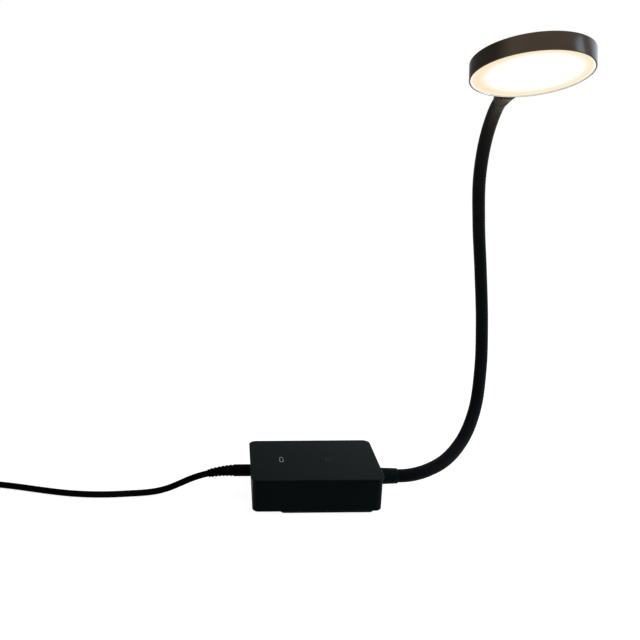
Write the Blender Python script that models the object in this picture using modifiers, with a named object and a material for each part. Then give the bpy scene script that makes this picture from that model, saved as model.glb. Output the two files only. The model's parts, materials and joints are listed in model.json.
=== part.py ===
"""LED bedside lamp: a flat base with a charging socket and a push button, a gooseneck and a round head.

Metres, +Z up. The origin is on the grip pad's underside, below the centre of the base.
The cord leaves the base at -X, the neck leaves it at +X, and the head hangs over to the right.
"""
import bisect
import math

import bmesh
import bpy
from mathutils import Matrix, Vector

# Clearances that every fit shares
SEAT = 0.0003                  # between two pieces that rest on each other
SLIDE = 0.0003                 # round a piece that moves in a hole
OVERRUN = 0.002                # how far a cutter runs past the wall that it cuts
WELD = 0.00001                 # distance at which doubled points are merged

# Facets
ROUND_SIDES = 16
BOSS_SIDES = 12
SMALL_SIDES = 10
BUTTON_SIDES = 32
HEAD_SIDES = 48
CORNER_STEPS = 4
SHARP_ANGLE = math.radians(35)

# Base: outer size of the lid, and of the tray that stands back under it
BASE_WIDTH = 0.111
BASE_DEPTH = 0.073
BASE_HEIGHT = 0.0325
BASE_CORNER = 0.0065
LID_THICKNESS = 0.002
LID_OVERHANG = 0.0012
LID_CHAMFER = 0.0004
LID_UNDERCUT = 0.001            # how far the lid's rim slopes back under its edge
SKIRT_THICKNESS = 0.0012
SKIRT_DEPTH = 0.0025
WALL = 0.0022
FLOOR = 0.0024
FLOOR_ROUNDING = 0.001
PAD_WIDTH = 0.079
PAD_OFFSET = 0.0085             # towards the neck, whose head pulls the lamp over that way
PAD_SETBACK = 0.003
PAD_THICKNESS = 0.002
PAD_CORNER = 0.004

# Base screws, which hold the tray to posts under the lid
POST_INSET = 0.0085
POST_RADIUS = 0.003
SCREW_BOSS_RADIUS = 0.0045
SCREW_BOSS_HEIGHT = 0.002
BASE_SCREW_HEAD = 0.0025
BASE_SCREW_HEAD_HEIGHT = 0.0016
BASE_SCREW_SINK = 0.0002
BASE_SCREW_SHANK = 0.0012
BASE_SCREW_LENGTH = 0.0125
SCREW_CROWN_SHARE = 0.75       # of the head's radius that is flat on top
SCREW_FLANK_SHARE = 0.6        # of the head's height where its rounding starts
SLOT_REACH_SHARE = 0.62        # of the head's radius that the slot reaches
SLOT_WIDTH = 0.0006
SLOT_DEPTH = 0.0006

# Ballast plate, between the screw bosses and under the power board
BALLAST_END_GAP = 0.001
BALLAST_SIDE_GAP = 0.001
BALLAST_CORNER = 0.0045

# Power board on four bosses that pass through the ballast plate
BOARD_BOSS_INSET_X = 0.008
BOARD_BOSS_INSET_Y = 0.0101
BOARD_BOSS_RADIUS = 0.003
BOARD_STAND_OFF = 0.002
BOARD_EDGE = 0.005
BOARD_THICKNESS = 0.0016
BOARD_SCREW_HEAD = 0.0022
BOARD_SCREW_HEAD_HEIGHT = 0.0014
BOARD_SCREW_SHANK = 0.001
BOARD_SCREW_LENGTH = 0.006
COMPONENT_GAP = 0.0007         # between the tall components and the control board's edge
COMPONENT_EDGE = 0.0013        # between the transformer and the power board's edge
TRANSFORMER_WIDTH = 0.020
TRANSFORMER_DEPTH = 0.014
TRANSFORMER_HEIGHT = 0.010
TRANSFORMER_X = -0.012
TRANSFORMER_CORE_WIDTH = 0.012
TRANSFORMER_CORE_RIM = 0.0006
CAPACITOR_RADIUS = 0.005
CAPACITOR_HEIGHT = 0.0105
CAPACITOR_X = 0.014
CAPACITOR_EDGE = 0.0006

# Control board under the lid, with the charging socket and the switch
BOARDS_APART = 0.0051
CONTROL_THICKNESS = 0.0012
CONTROL_POST_RADIUS = 0.0025
CONTROL_POST_EDGE = 0.004
CONTROL_POST_PAST_SOCKET = 0.0075
CONTROL_POST_PAST_BUTTON = 0.0055
CONTROL_SCREW_LENGTH = 0.0045

# Charging socket: its long side runs from front to back
SOCKET_INSET = 0.0275          # from the left end of the base
SOCKET_LONG = 0.00894
SOCKET_SHORT = 0.00326
SOCKET_SHELL = 0.00035
SOCKET_HEIGHT = 0.0071
SOCKET_FLOOR = 0.0009
SOCKET_BELOW_LID = 0.0002
SOCKET_ROUNDING_SHARE = 0.49   # of the short side, so that its ends are round
SOCKET_CORNER_STEPS = 3
TONGUE_LONG = 0.0067
TONGUE_THICKNESS = 0.0007
TONGUE_BELOW_MOUTH = 0.0008

# Power button and the switch below it
BUTTON_X = 0.012
BUTTON_RADIUS = 0.00575
BUTTON_PROUD = 0.0001
BUTTON_TRAVEL = 0.0005
BUTTON_REST_GAP = 0.0002
BUTTON_FLANGE = 0.001
BUTTON_FLANGE_THICKNESS = 0.0008
BUTTON_STEM_RADIUS = 0.0015
BUTTON_CHAMFER = 0.0003
SWITCH_SIDE = 0.006
SWITCH_BODY_HEIGHT = 0.0025
SWITCH_PLUNGER_RADIUS = 0.0016
SWITCH_PLUNGER_HEIGHT = 0.0005

# Neck: a sleeve round a core, and the collar where it leaves the base
NECK_RADIUS = 0.0058
NECK_HEIGHT = 0.0155
SLEEVE_WALL = 0.001
CORE_BORE = 0.0022
NECK_SIDES = 12
CORE_SIDES = 8
NECK_RINGS = 5
COLLAR_WALL = 0.0006
COLLAR_TAPER = 0.0006
COLLAR_LENGTH = 0.0196
COLLAR_ROUNDING = 0.0006
COLLAR_RIM = 0.0002
COLLAR_STUB_RADIUS = 0.005
COLLAR_LEAD_BORE = 0.003
COLLAR_SLEEVE_DEPTH = 0.012
COLLAR_CORE_DEPTH = 0.0055
COLLAR_NUT_MARGIN = 0.0035
COLLAR_NUT_THICKNESS = 0.0035
COLLAR_STUB_PAST_NUT = 0.0013
NUT_SIDES = 6

# Neck route: how far it reaches right of the collar, leans back and rises above its own foot.
# The shares of the three were chosen by hand along the photographed curve.
NECK_REACH = 0.1004
NECK_LEAN = 0.1124
NECK_RISE = 0.3213
NECK_ROUTE_SHARES = (
    (0.385, 0.105, 0.010),
    (0.673, 0.322, 0.045),
    (0.862, 0.540, 0.109),
    (0.966, 0.737, 0.212),
    (1.000, 0.891, 0.345),
    (0.976, 0.983, 0.495),
    (0.914, 0.996, 0.645),
    (0.845, 0.916, 0.784),
    (0.807, 0.730, 0.914),
    (0.794, 0.512, 0.983),
)
ROUTE_STEPS = 24
STRAIGHT_PAST_COLLAR = 0.004
STRAIGHT_BEFORE_HEAD = 0.007
HEAD_TILT = math.radians(17.8)         # how far the head's own plane rises away from the neck
HEAD_HEADING = math.radians(-92.8)     # the way from the neck into the head, seen from above
HEAD_ROLL = math.radians(-0.8)         # turn about that way

# Neck joints: the neck bends at seven places, where the core has a ball in a cup
JOINT_COUNT = 7
JOINT_BEND = math.radians(30)
FIRST_JOINT_PAST_COLLAR = 0.0078
LAST_JOINT_BEFORE_HEAD = 0.020
JOINT_CLEARANCE = 0.00015
CUP_SKIN = 0.0002
BALL_CLEARANCE = 0.0006
BALL_OVER_SHANK = 0.0007
CUP_RIM = 0.0017
SHANK_START = 0.0045
SHANK_FULL = 0.006
BALL_STEPS = 5
CUP_STEPS = 3

# Head, in its own frame: x runs from the housing's wall into the head, z away from the light
HEAD_RADIUS = 0.0432
HEAD_HEIGHT = 0.013
HEAD_EDGE = 0.0008
HEAD_TOP = 0.0015
HEAD_LIP = 0.0006
HEAD_WALL = 0.0024
DIFFUSER_THICKNESS = 0.002
DIFFUSER_RECESS = 0.0008
HEAD_SOCKET_LENGTH = 0.018
HEAD_SOCKET_DROP = 0.0018              # how far its mouth hangs below the head's middle plane
HEAD_SOCKET_RIM = 0.0003
HEAD_SOCKET_SPREAD = 0.0054            # how far the flare grows to each side at the housing
HEAD_SOCKET_INSET = 0.0003             # between the flare's top and bottom and those of the housing
HEAD_SOCKET_STUB_LENGTH = 0.0056
FLARE_SHARES = ((0.8, 0.14), (0.6, 0.31), (0.4, 0.51), (0.2, 0.74))
HEAD_SLEEVE_DEPTH = 0.004
HEAD_CORE_DEPTH = 0.007
HEAD_LEAD_BORE = 0.0014
HEAD_LEAD_RADIUS = 0.0008
HEAD_NUT_GAP = 0.0004
HEAD_NUT_WALL = 0.0013
HEAD_NUT_THICKNESS = 0.0022
LED_BOSS_HEIGHT = 0.0022
LED_BOSS_RADIUS = 0.0025
LED_BOARD_THICKNESS = 0.0012
LED_BOARD_GAP = 0.0006
LED_EDGE = 0.0075
LED_OUTER_COUNT = 12
LED_INNER_SHARE = 0.468                # of the outer ring's radius
LED_INNER_COUNT = 6
LED_SIDE = 0.003
LED_HEIGHT = 0.0007
LED_SCREW_HEAD = 0.0019
LED_SCREW_HEAD_HEIGHT = 0.0012
LED_SCREW_SHANK = 0.0009
LED_SCREW_LENGTH = 0.0042
REFLECTOR_ROOM = 0.0038                # kept free round the reflector for the nut
REFLECTOR_SLOPE = 0.0054
REFLECTOR_SKIN = 0.0008
REFLECTOR_BELOW_BOARD = 0.0008

# Cord relief on the left wall, and the cord
RELIEF_BELOW_SKIRT = 0.0004
RELIEF_RADIUS = 0.0052
RELIEF_TIP_RADIUS = 0.0036
RELIEF_NECK_RADIUS = 0.004
RELIEF_FLANGE_RADIUS = 0.0054
RELIEF_FLANGE_THICKNESS = 0.0024
RELIEF_PLAIN_LENGTH = 0.0145
RELIEF_LENGTH = 0.0375
RELIEF_RIBS = 7
RELIEF_RIB_DEPTH = 0.0005
RELIEF_DROOP = 0.0028
CORD_DIAMETER = 0.0056
CORD_STEPS = 2
LEAD_RADIUS = 0.0012
LEAD_STEP = 0.0036
LEAD_STEPS = 3

# Coil of the cord that is put away, and its tie
COIL_X = -0.318
COIL_Y = -0.029
COIL_RADIUS = 0.0445
COIL_TURNS = 7.25
COIL_GAP = 0.0006
COIL_POINTS_PER_TURN = 24
COIL_CLIMB_TURNS = 0.5
TIE_THICKNESS = 0.0008
TIE_WIDTH = 0.009
TIE_SLACK = 0.0006
TIE_ANGLE = math.radians(225)

# Mains plug, lying beside the coil
PLUG_WIDTH = 0.0353
PLUG_THICKNESS = 0.0136
PLUG_BODY = 0.026
PLUG_REAR_SHARE = 0.55
PLUG_BEVEL = 0.0022
PLUG_TAIL = 0.013
PLUG_TAIL_FOOT = 0.0052
PLUG_TAIL_TIP = 0.0038
PLUG_FORWARD = 0.0445
PLUG_OUTWARD = 0.004
PIN_RADIUS = 0.002
PIN_LENGTH = 0.019
PIN_SPACING = 0.0186
PIN_SEAT_DEPTH = 0.004
PIN_TIP = 0.0008

# Base: heights and planes that follow from the sizes above
TRAY_WIDTH = BASE_WIDTH - 2 * LID_OVERHANG
TRAY_DEPTH = BASE_DEPTH - 2 * LID_OVERHANG
TRAY_CORNER = BASE_CORNER - LID_OVERHANG
TRAY_BOTTOM = PAD_THICKNESS + SEAT
TRAY_FLOOR = TRAY_BOTTOM + FLOOR
LID_BOTTOM = BASE_HEIGHT - LID_THICKNESS
TRAY_TOP = LID_BOTTOM - SEAT
WALL_OUTSIDE = TRAY_WIDTH / 2
WALL_INSIDE = WALL_OUTSIDE - WALL
POST_X = BASE_WIDTH / 2 - POST_INSET
POST_Y = BASE_DEPTH / 2 - POST_INSET
POST_END = TRAY_FLOOR + SCREW_BOSS_HEIGHT + SEAT
SCREW_SEAT = TRAY_BOTTOM + BASE_SCREW_SINK + BASE_SCREW_HEAD_HEIGHT
CONTROL_TOP = BASE_HEIGHT - SOCKET_BELOW_LID - SOCKET_HEIGHT - SEAT
CONTROL_BOTTOM = CONTROL_TOP - CONTROL_THICKNESS
SOCKET_X = SOCKET_INSET - BASE_WIDTH / 2
CONTROL_POST_LEFT = SOCKET_X - CONTROL_POST_PAST_SOCKET
CONTROL_POST_RIGHT = BUTTON_X + BUTTON_RADIUS + CONTROL_POST_PAST_BUTTON
POWER_BOARD_TOP = CONTROL_BOTTOM - BOARDS_APART
POWER_BOARD_BOTTOM = POWER_BOARD_TOP - BOARD_THICKNESS
BALLAST_BOTTOM = TRAY_FLOOR + SEAT
BALLAST_TOP = POWER_BOARD_BOTTOM - BOARD_STAND_OFF
BALLAST_WIDTH = 2 * (POST_X - SCREW_BOSS_RADIUS - BALLAST_END_GAP)
BALLAST_DEPTH = TRAY_DEPTH - 2 * (WALL + BALLAST_SIDE_GAP)
BOARD_BOSS_X = BALLAST_WIDTH / 2 - BOARD_BOSS_INSET_X
BOARD_BOSS_Y = BALLAST_DEPTH / 2 - BOARD_BOSS_INSET_Y
COMPONENTS_BACK = TRANSFORMER_DEPTH + COMPONENT_EDGE - BOARD_BOSS_Y - BOARD_EDGE
TRANSFORMER_Y = COMPONENTS_BACK - TRANSFORMER_DEPTH / 2
CAPACITOR_Y = COMPONENTS_BACK - CAPACITOR_RADIUS
CONTROL_DEPTH = -2 * (COMPONENTS_BACK + COMPONENT_GAP)
SWITCH_TOP = CONTROL_TOP + SEAT + SWITCH_BODY_HEIGHT + SWITCH_PLUNGER_HEIGHT
RELIEF_HEIGHT = LID_BOTTOM - SKIRT_DEPTH - RELIEF_BELOW_SKIRT - RELIEF_FLANGE_RADIUS
RELIEF_TIP = -WALL_OUTSIDE - RELIEF_LENGTH

# Neck: radii and planes that follow
CORE_RADIUS = NECK_RADIUS - SLEEVE_WALL - SEAT
CUP_RADIUS = CORE_RADIUS - CUP_SKIN
BALL_RADIUS = CUP_RADIUS - BALL_CLEARANCE
SHANK_RADIUS = BALL_RADIUS - BALL_OVER_SHANK
COLLAR_TIP_RADIUS = NECK_RADIUS + SEAT + COLLAR_WALL
COLLAR_FOOT_RADIUS = COLLAR_TIP_RADIUS + COLLAR_TAPER
COLLAR_FOOT = WALL_OUTSIDE + SEAT
COLLAR_TIP = COLLAR_FOOT + COLLAR_LENGTH
SLEEVE_STOP = COLLAR_TIP - COLLAR_SLEEVE_DEPTH
CORE_STOP = SLEEVE_STOP - COLLAR_CORE_DEPTH
CORE_START = CORE_STOP + SEAT
COLLAR_NUT_OUTER = WALL_INSIDE - SEAT
COLLAR_NUT_INNER = COLLAR_NUT_OUTER - COLLAR_NUT_THICKNESS
COLLAR_NUT_RADIUS = COLLAR_STUB_RADIUS + COLLAR_NUT_MARGIN
COLLAR_STUB_END = COLLAR_NUT_INNER - COLLAR_STUB_PAST_NUT

# Head: planes along its own axis, and radii
HEAD_ABOVE = HEAD_HEIGHT / 2
HEAD_CEILING = HEAD_ABOVE - HEAD_TOP
HEAD_INNER_RADIUS = HEAD_RADIUS - HEAD_WALL
POCKET_RADIUS = HEAD_RADIUS - HEAD_LIP
LENS_BOTTOM = DIFFUSER_RECESS - HEAD_ABOVE
LENS_TOP = LENS_BOTTOM + DIFFUSER_THICKNESS
POCKET_TOP = LENS_TOP + SEAT
LED_BOARD_TOP = HEAD_CEILING - LED_BOSS_HEIGHT - SEAT
LED_BOARD_BOTTOM = LED_BOARD_TOP - LED_BOARD_THICKNESS
REFLECTOR_OUTER = HEAD_INNER_RADIUS - REFLECTOR_ROOM
REFLECTOR_INNER = REFLECTOR_OUTER - REFLECTOR_SLOPE
REFLECTOR_TOP = LED_BOARD_BOTTOM - REFLECTOR_BELOW_BOARD
LED_BOARD_RADIUS = REFLECTOR_INNER - LED_BOARD_GAP
LED_OUTER_RING = LED_BOARD_RADIUS - LED_EDGE
LED_INNER_RING = LED_OUTER_RING * LED_INNER_SHARE
LED_BOSS_Y = (LED_OUTER_RING + LED_INNER_RING) / 2
HEAD_NUT_RADIUS = -POCKET_TOP - HEAD_NUT_GAP + SEAT
HEAD_SOCKET_STUB = HEAD_NUT_RADIUS - HEAD_NUT_WALL
HEAD_MOUTH_RADIUS = NECK_RADIUS + SEAT + HEAD_SOCKET_RIM
HEAD_MOUTH_BEND = math.atan2(2 * HEAD_SOCKET_DROP, HEAD_SOCKET_LENGTH)

# Cord: what follows for the tube, the coil and the relief's tail
CORD_RADIUS = CORD_DIAMETER / 2
COIL_PITCH = CORD_DIAMETER + COIL_GAP
COIL_FLOOR = TIE_THICKNESS + SEAT + CORD_RADIUS
PLUG_AXIS = PLUG_THICKNESS / 2
PLUG_X = COIL_X - COIL_RADIUS - PLUG_OUTWARD
PLUG_Y = COIL_Y - PLUG_FORWARD

FINISHES = {
    "black_plastic": ((0.010, 0.011, 0.012), 0.55, 0.0),
    "lid_plastic": ((0.014, 0.016, 0.017), 0.5, 0.0),
    "black_rubber": ((0.006, 0.006, 0.006), 0.7, 0.0),
    "sleeve_rubber": ((0.008, 0.009, 0.010), 0.5, 0.0),
    "black_metal": ((0.020, 0.019, 0.018), 0.35, 0.6),
    "steel": ((0.45, 0.45, 0.45), 0.35, 1.0),
    "zinc": ((0.55, 0.56, 0.58), 0.3, 1.0),
    "board_green": ((0.02, 0.12, 0.05), 0.5, 0.0),
    "board_white": ((0.8, 0.8, 0.78), 0.4, 0.0),
    "opal": ((0.9, 0.86, 0.76), 0.35, 0.0),
    "white_plastic": ((0.85, 0.85, 0.83), 0.45, 0.0),
    "copper_tape": ((0.75, 0.55, 0.08), 0.45, 0.0),
    "can_sleeve": ((0.02, 0.03, 0.08), 0.4, 0.0),
    "nickel": ((0.62, 0.6, 0.55), 0.25, 1.0),
}


def clear_scene():
    for item in list(bpy.data.objects):
        bpy.data.objects.remove(item, do_unlink=True)


def new_collection(name):
    collection = bpy.data.collections.new(name)
    bpy.context.scene.collection.children.link(collection)
    return collection


def material(name):
    """The named finish as a Principled material, made once."""
    if name in bpy.data.materials:
        return bpy.data.materials[name]
    colour, roughness, metallic = FINISHES[name]
    made = bpy.data.materials.new(name)
    made.use_nodes = True
    shader = made.node_tree.nodes["Principled BSDF"]
    shader.inputs["Base Color"].default_value = (*colour, 1)
    shader.inputs["Roughness"].default_value = roughness
    shader.inputs["Metallic"].default_value = metallic
    made.diffuse_color = (*colour, 1)
    return made


def shade(mesh):
    mesh.shade_smooth()
    mesh.set_sharp_from_angle(angle=SHARP_ANGLE)


def add_part(name, data, finish, parent):
    """A part of the lamp under its parent empty, with its mesh given in world coordinates."""
    part = bpy.data.objects.new(name, data)
    PARTS.objects.link(part)
    part.data.materials.append(material(finish))
    part.parent = parent
    part.matrix_parent_inverse = parent.matrix_world.inverted()
    return part


def mesh_from(name, bm):
    bmesh.ops.recalc_face_normals(bm, faces=bm.faces[:])
    mesh = bpy.data.meshes.new(name)
    bm.to_mesh(mesh)
    bm.free()
    shade(mesh)
    return mesh


def add_solid(name, bm, finish, parent):
    return add_part(name, mesh_from(name, bm), finish, parent)


def add_cutter(name, bm):
    """A hidden operand for a Boolean. Its bodies don't meet each other."""
    cutter = bpy.data.objects.new(name, mesh_from(name, bm))
    CUTTERS.objects.link(cutter)
    cutter.display_type = "WIRE"
    cutter.hide_render = True
    return cutter


def combine(part, operation, bm):
    tool = add_cutter(f"{part.name}_{operation.lower()}", bm)
    modifier = part.modifiers.new(operation.capitalize(), "BOOLEAN")
    modifier.operation = operation
    modifier.object = tool
    modifier.solver = "EXACT"


def evaluated_mesh(source):
    depsgraph = bpy.context.evaluated_depsgraph_get()
    return bpy.data.meshes.new_from_object(source.evaluated_get(depsgraph), depsgraph=depsgraph)


def rod(bm, radius, start, end, sides=ROUND_SIDES, end_radius=None):
    """A cylinder or a cone between two points."""
    start, end = Vector(start), Vector(end)
    axis = end - start
    place = Matrix.Translation((start + end) / 2) @ axis.to_track_quat("Z", "Y").to_matrix().to_4x4()
    bmesh.ops.create_cone(
        bm, cap_ends=True, segments=sides, depth=axis.length, matrix=place,
        radius1=radius, radius2=radius if end_radius is None else end_radius)


def block(bm, low, high):
    """A box between two corners."""
    low, high = Vector(low), Vector(high)
    place = Matrix.Translation((low + high) / 2) @ Matrix.Diagonal((*(high - low), 1))
    return bmesh.ops.create_cube(bm, size=1, matrix=place)["verts"]


def plate(width, depth, bottom, top, corner, centre_x=0, steps=CORNER_STEPS):
    """A flat plate with rounded upright corners."""
    bm = bmesh.new()
    block(bm, (centre_x - width / 2, -depth / 2, bottom), (centre_x + width / 2, depth / 2, top))
    upright = [edge for edge in bm.edges if abs(edge.verts[0].co.z - edge.verts[1].co.z) > (top - bottom) / 2]
    bmesh.ops.bevel(bm, geom=upright, offset=corner, segments=steps, profile=0.5, affect="EDGES")
    return bm


def edges_of_level(bm, height):
    """The edges whose two ends lie at one height."""
    return [edge for edge in bm.edges if all(abs(vert.co.z - height) < WELD for vert in edge.verts)]


def turned(outline, place, sides=ROUND_SIDES, hollow=False):
    """A turned mesh: the outline of (radius, height) runs down the outer side, and a hollow one closes."""
    count = len(outline)
    edges = [(index, (index + 1) % count) for index in range(count if hollow else count - 1)]
    mesh = bpy.data.meshes.new("outline")
    mesh.from_pydata([(radius, 0, height) for radius, height in outline], edges, [])
    guide = bpy.data.objects.new("outline", mesh)
    CUTTERS.objects.link(guide)
    screw = guide.modifiers.new("Turn", "SCREW")
    screw.steps = screw.render_steps = sides
    screw.use_merge_vertices = True
    screw.merge_threshold = WELD
    bpy.context.view_layer.update()
    made = evaluated_mesh(guide)
    bpy.data.objects.remove(guide, do_unlink=True)
    bm = bmesh.new()
    bm.from_mesh(made)
    bmesh.ops.remove_doubles(bm, verts=bm.verts[:], dist=WELD)
    bmesh.ops.transform(bm, matrix=place, verts=bm.verts[:])
    return bm


def facing(point, way):
    """A frame at a point whose z runs along the given way."""
    return Matrix.Translation(point) @ Vector(way).to_track_quat("Z", "Y").to_matrix().to_4x4()


def smooth_points(points, first_way, last_way, steps):
    """Points of one smooth curve through the given points, which leaves and arrives along the two ways."""
    points = [Vector(point) for point in points]
    spans = [(after - before).length for before, after in zip(points, points[1:])]
    ways = [Vector(first_way).normalized()]
    for index in range(1, len(points) - 1):
        before, after = spans[index - 1], spans[index]
        arriving = (points[index] - points[index - 1]) / before
        leaving = (points[index + 1] - points[index]) / after
        ways.append((arriving * after + leaving * before) / (before + after))
    ways.append(Vector(last_way).normalized())
    smooth = [points[0]]
    for index, span in enumerate(spans):
        for step in range(1, steps + 1):
            t = step / steps
            smooth.append(
                points[index] * (2 * t ** 3 - 3 * t ** 2 + 1)
                + ways[index] * span * (t ** 3 - 2 * t ** 2 + t)
                + points[index + 1] * (3 * t ** 2 - 2 * t ** 3)
                + ways[index + 1] * span * (t ** 3 - t ** 2))
    return smooth


def length_of(points):
    return sum((after - before).length for before, after in zip(points, points[1:]))


class Route:
    """A centreline with its distances, and frames along it that don't twist."""

    def __init__(self, points, across):
        self.points = points
        self.distances = [0.0]
        for before, after in zip(points, points[1:]):
            self.distances.append(self.distances[-1] + (after - before).length)
        self.length = self.distances[-1]
        last = len(points) - 1
        self.ways = [
            (points[min(index + 1, last)] - points[max(index - 1, 0)]).normalized() for index in range(last + 1)]
        self.across = []
        for way in self.ways:
            across = (across - way * across.dot(way)).normalized()
            self.across.append(across)

    def place(self, distance):
        """The frame at a distance along the route, with z along it."""
        index = min(max(bisect.bisect_right(self.distances, distance) - 1, 0), len(self.points) - 2)
        span = self.distances[index + 1] - self.distances[index]
        share = (distance - self.distances[index]) / span
        point = self.points[index].lerp(self.points[index + 1], share)
        way = self.ways[index].lerp(self.ways[index + 1], share).normalized()
        across = self.across[index].lerp(self.across[index + 1], share)
        across = (across - way * across.dot(way)).normalized()
        turn = Matrix((across, way.cross(across), way)).transposed().to_4x4()
        return Matrix.Translation(point) @ turn


def ringed(stations, sides):
    """A hollow piece from round sections (frame, radius) that lead round its wall and back to the first."""
    bm = bmesh.new()
    rings = [
        bmesh.ops.create_circle(bm, segments=sides, radius=radius, matrix=place)["verts"]
        for place, radius in stations]
    for before, after in zip(rings, rings[1:] + rings[:1]):
        for index in range(sides):
            follow = (index + 1) % sides
            bm.faces.new((before[index], before[follow], after[follow], after[index]))
    return bm


def along(place, distance):
    return place @ Matrix.Translation((0, 0, distance))


def wire(name, points, radius, finish, parent, resolution=2):
    """A round wire or cord along the given points."""
    curve = bpy.data.curves.new(name, "CURVE")
    curve.dimensions = "3D"
    curve.bevel_depth = radius
    curve.bevel_resolution = resolution
    curve.use_fill_caps = True
    spline = curve.splines.new("POLY")
    spline.points.add(len(points) - 1)
    for target, point in zip(spline.points, points):
        target.co = (*point, 1)
    return add_part(name, curve, finish, parent)


def add_empty(name, place, parent=None):
    """An empty that marks a frame or a joint's axis and carries the pieces that belong to it."""
    empty = bpy.data.objects.new(name, None)
    PARTS.objects.link(empty)
    if parent is not None:
        empty.parent = parent
        empty.matrix_parent_inverse = parent.matrix_world.inverted()
    empty.matrix_world = place
    bpy.context.view_layer.update()
    return empty


def screw(name, seat, way, head, head_height, shank, length, finish, parent, sides=SMALL_SIDES):
    """A screw whose head's underside is at the seat and whose shank runs along the way, with a cross slot."""
    outline = [
        (0, head_height), (head * SCREW_CROWN_SHARE, head_height), (head, head_height * SCREW_FLANK_SHARE),
        (head, 0), (shank, 0), (shank, -length + shank), (0, -length)]
    place = facing(seat, -Vector(way))
    part = add_solid(name, turned(outline, place, sides), finish, parent)
    slots = bmesh.new()
    reach = head * SLOT_REACH_SHARE
    low = head_height - SLOT_DEPTH
    block(slots, (-reach, -SLOT_WIDTH / 2, low), (reach, SLOT_WIDTH / 2, head_height + OVERRUN))
    bmesh.ops.transform(slots, matrix=place, verts=slots.verts[:])
    combine(part, "DIFFERENCE", slots)
    return part


def corners(x, y):
    return [(x, y), (-x, y), (-x, -y), (x, -y)]


def make_tray(base):
    """The lower shell: floor, walls, screw bosses, board bosses and the two side holes."""
    bm = plate(TRAY_WIDTH, TRAY_DEPTH, TRAY_BOTTOM, TRAY_TOP, TRAY_CORNER)
    bmesh.ops.bevel(
        bm, geom=edges_of_level(bm, TRAY_BOTTOM), offset=FLOOR_ROUNDING, segments=2, profile=0.5, affect="EDGES")
    tray = add_solid("base_shell", bm, "black_plastic", base)
    hollow = plate(
        TRAY_WIDTH - 2 * WALL, TRAY_DEPTH - 2 * WALL, TRAY_FLOOR, TRAY_TOP + OVERRUN, TRAY_CORNER - WALL)
    combine(tray, "DIFFERENCE", hollow)
    bosses = bmesh.new()
    root = TRAY_FLOOR - FLOOR / 2
    for x, y in corners(POST_X, POST_Y):
        rod(bosses, SCREW_BOSS_RADIUS, (x, y, root), (x, y, TRAY_FLOOR + SCREW_BOSS_HEIGHT), BOSS_SIDES)
    for x, y in corners(BOARD_BOSS_X, BOARD_BOSS_Y):
        rod(bosses, BOARD_BOSS_RADIUS, (x, y, root), (x, y, POWER_BOARD_BOTTOM - SEAT), BOSS_SIDES)
    combine(tray, "UNION", bosses)
    holes = bmesh.new()
    head_seat = SCREW_SEAT + SEAT
    for x, y in corners(POST_X, POST_Y):
        outline = [
            (0, TRAY_FLOOR + SCREW_BOSS_HEIGHT + OVERRUN),
            (BASE_SCREW_SHANK + SEAT, TRAY_FLOOR + SCREW_BOSS_HEIGHT + OVERRUN),
            (BASE_SCREW_SHANK + SEAT, head_seat), (BASE_SCREW_HEAD + SEAT, head_seat),
            (BASE_SCREW_HEAD + SEAT, TRAY_BOTTOM - OVERRUN), (0, TRAY_BOTTOM - OVERRUN)]
        join(holes, turned(outline, Matrix.Translation((x, y, 0)), BOSS_SIDES))
    for x, y in board_screw_places():
        rod(holes, BOARD_SCREW_SHANK + SEAT, (x, y, POWER_BOARD_BOTTOM - BOARD_SCREW_LENGTH), (x, y, POWER_BOARD_TOP),
            SMALL_SIDES)
    near, far = WALL_INSIDE - OVERRUN, WALL_OUTSIDE + OVERRUN
    rod(holes, COLLAR_STUB_RADIUS + SEAT, (near, 0, NECK_HEIGHT), (far, 0, NECK_HEIGHT))
    rod(holes, RELIEF_NECK_RADIUS + SEAT, (-near, 0, RELIEF_HEIGHT), (-far, 0, RELIEF_HEIGHT))
    combine(tray, "DIFFERENCE", holes)


def join(bm, other):
    """Add another bmesh's bodies to this one."""
    mesh = bpy.data.meshes.new("joined")
    other.to_mesh(mesh)
    other.free()
    bm.from_mesh(mesh)
    bpy.data.meshes.remove(mesh)


def board_screw_places():
    return [(-BOARD_BOSS_X, BOARD_BOSS_Y), (BOARD_BOSS_X, -BOARD_BOSS_Y)]


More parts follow.
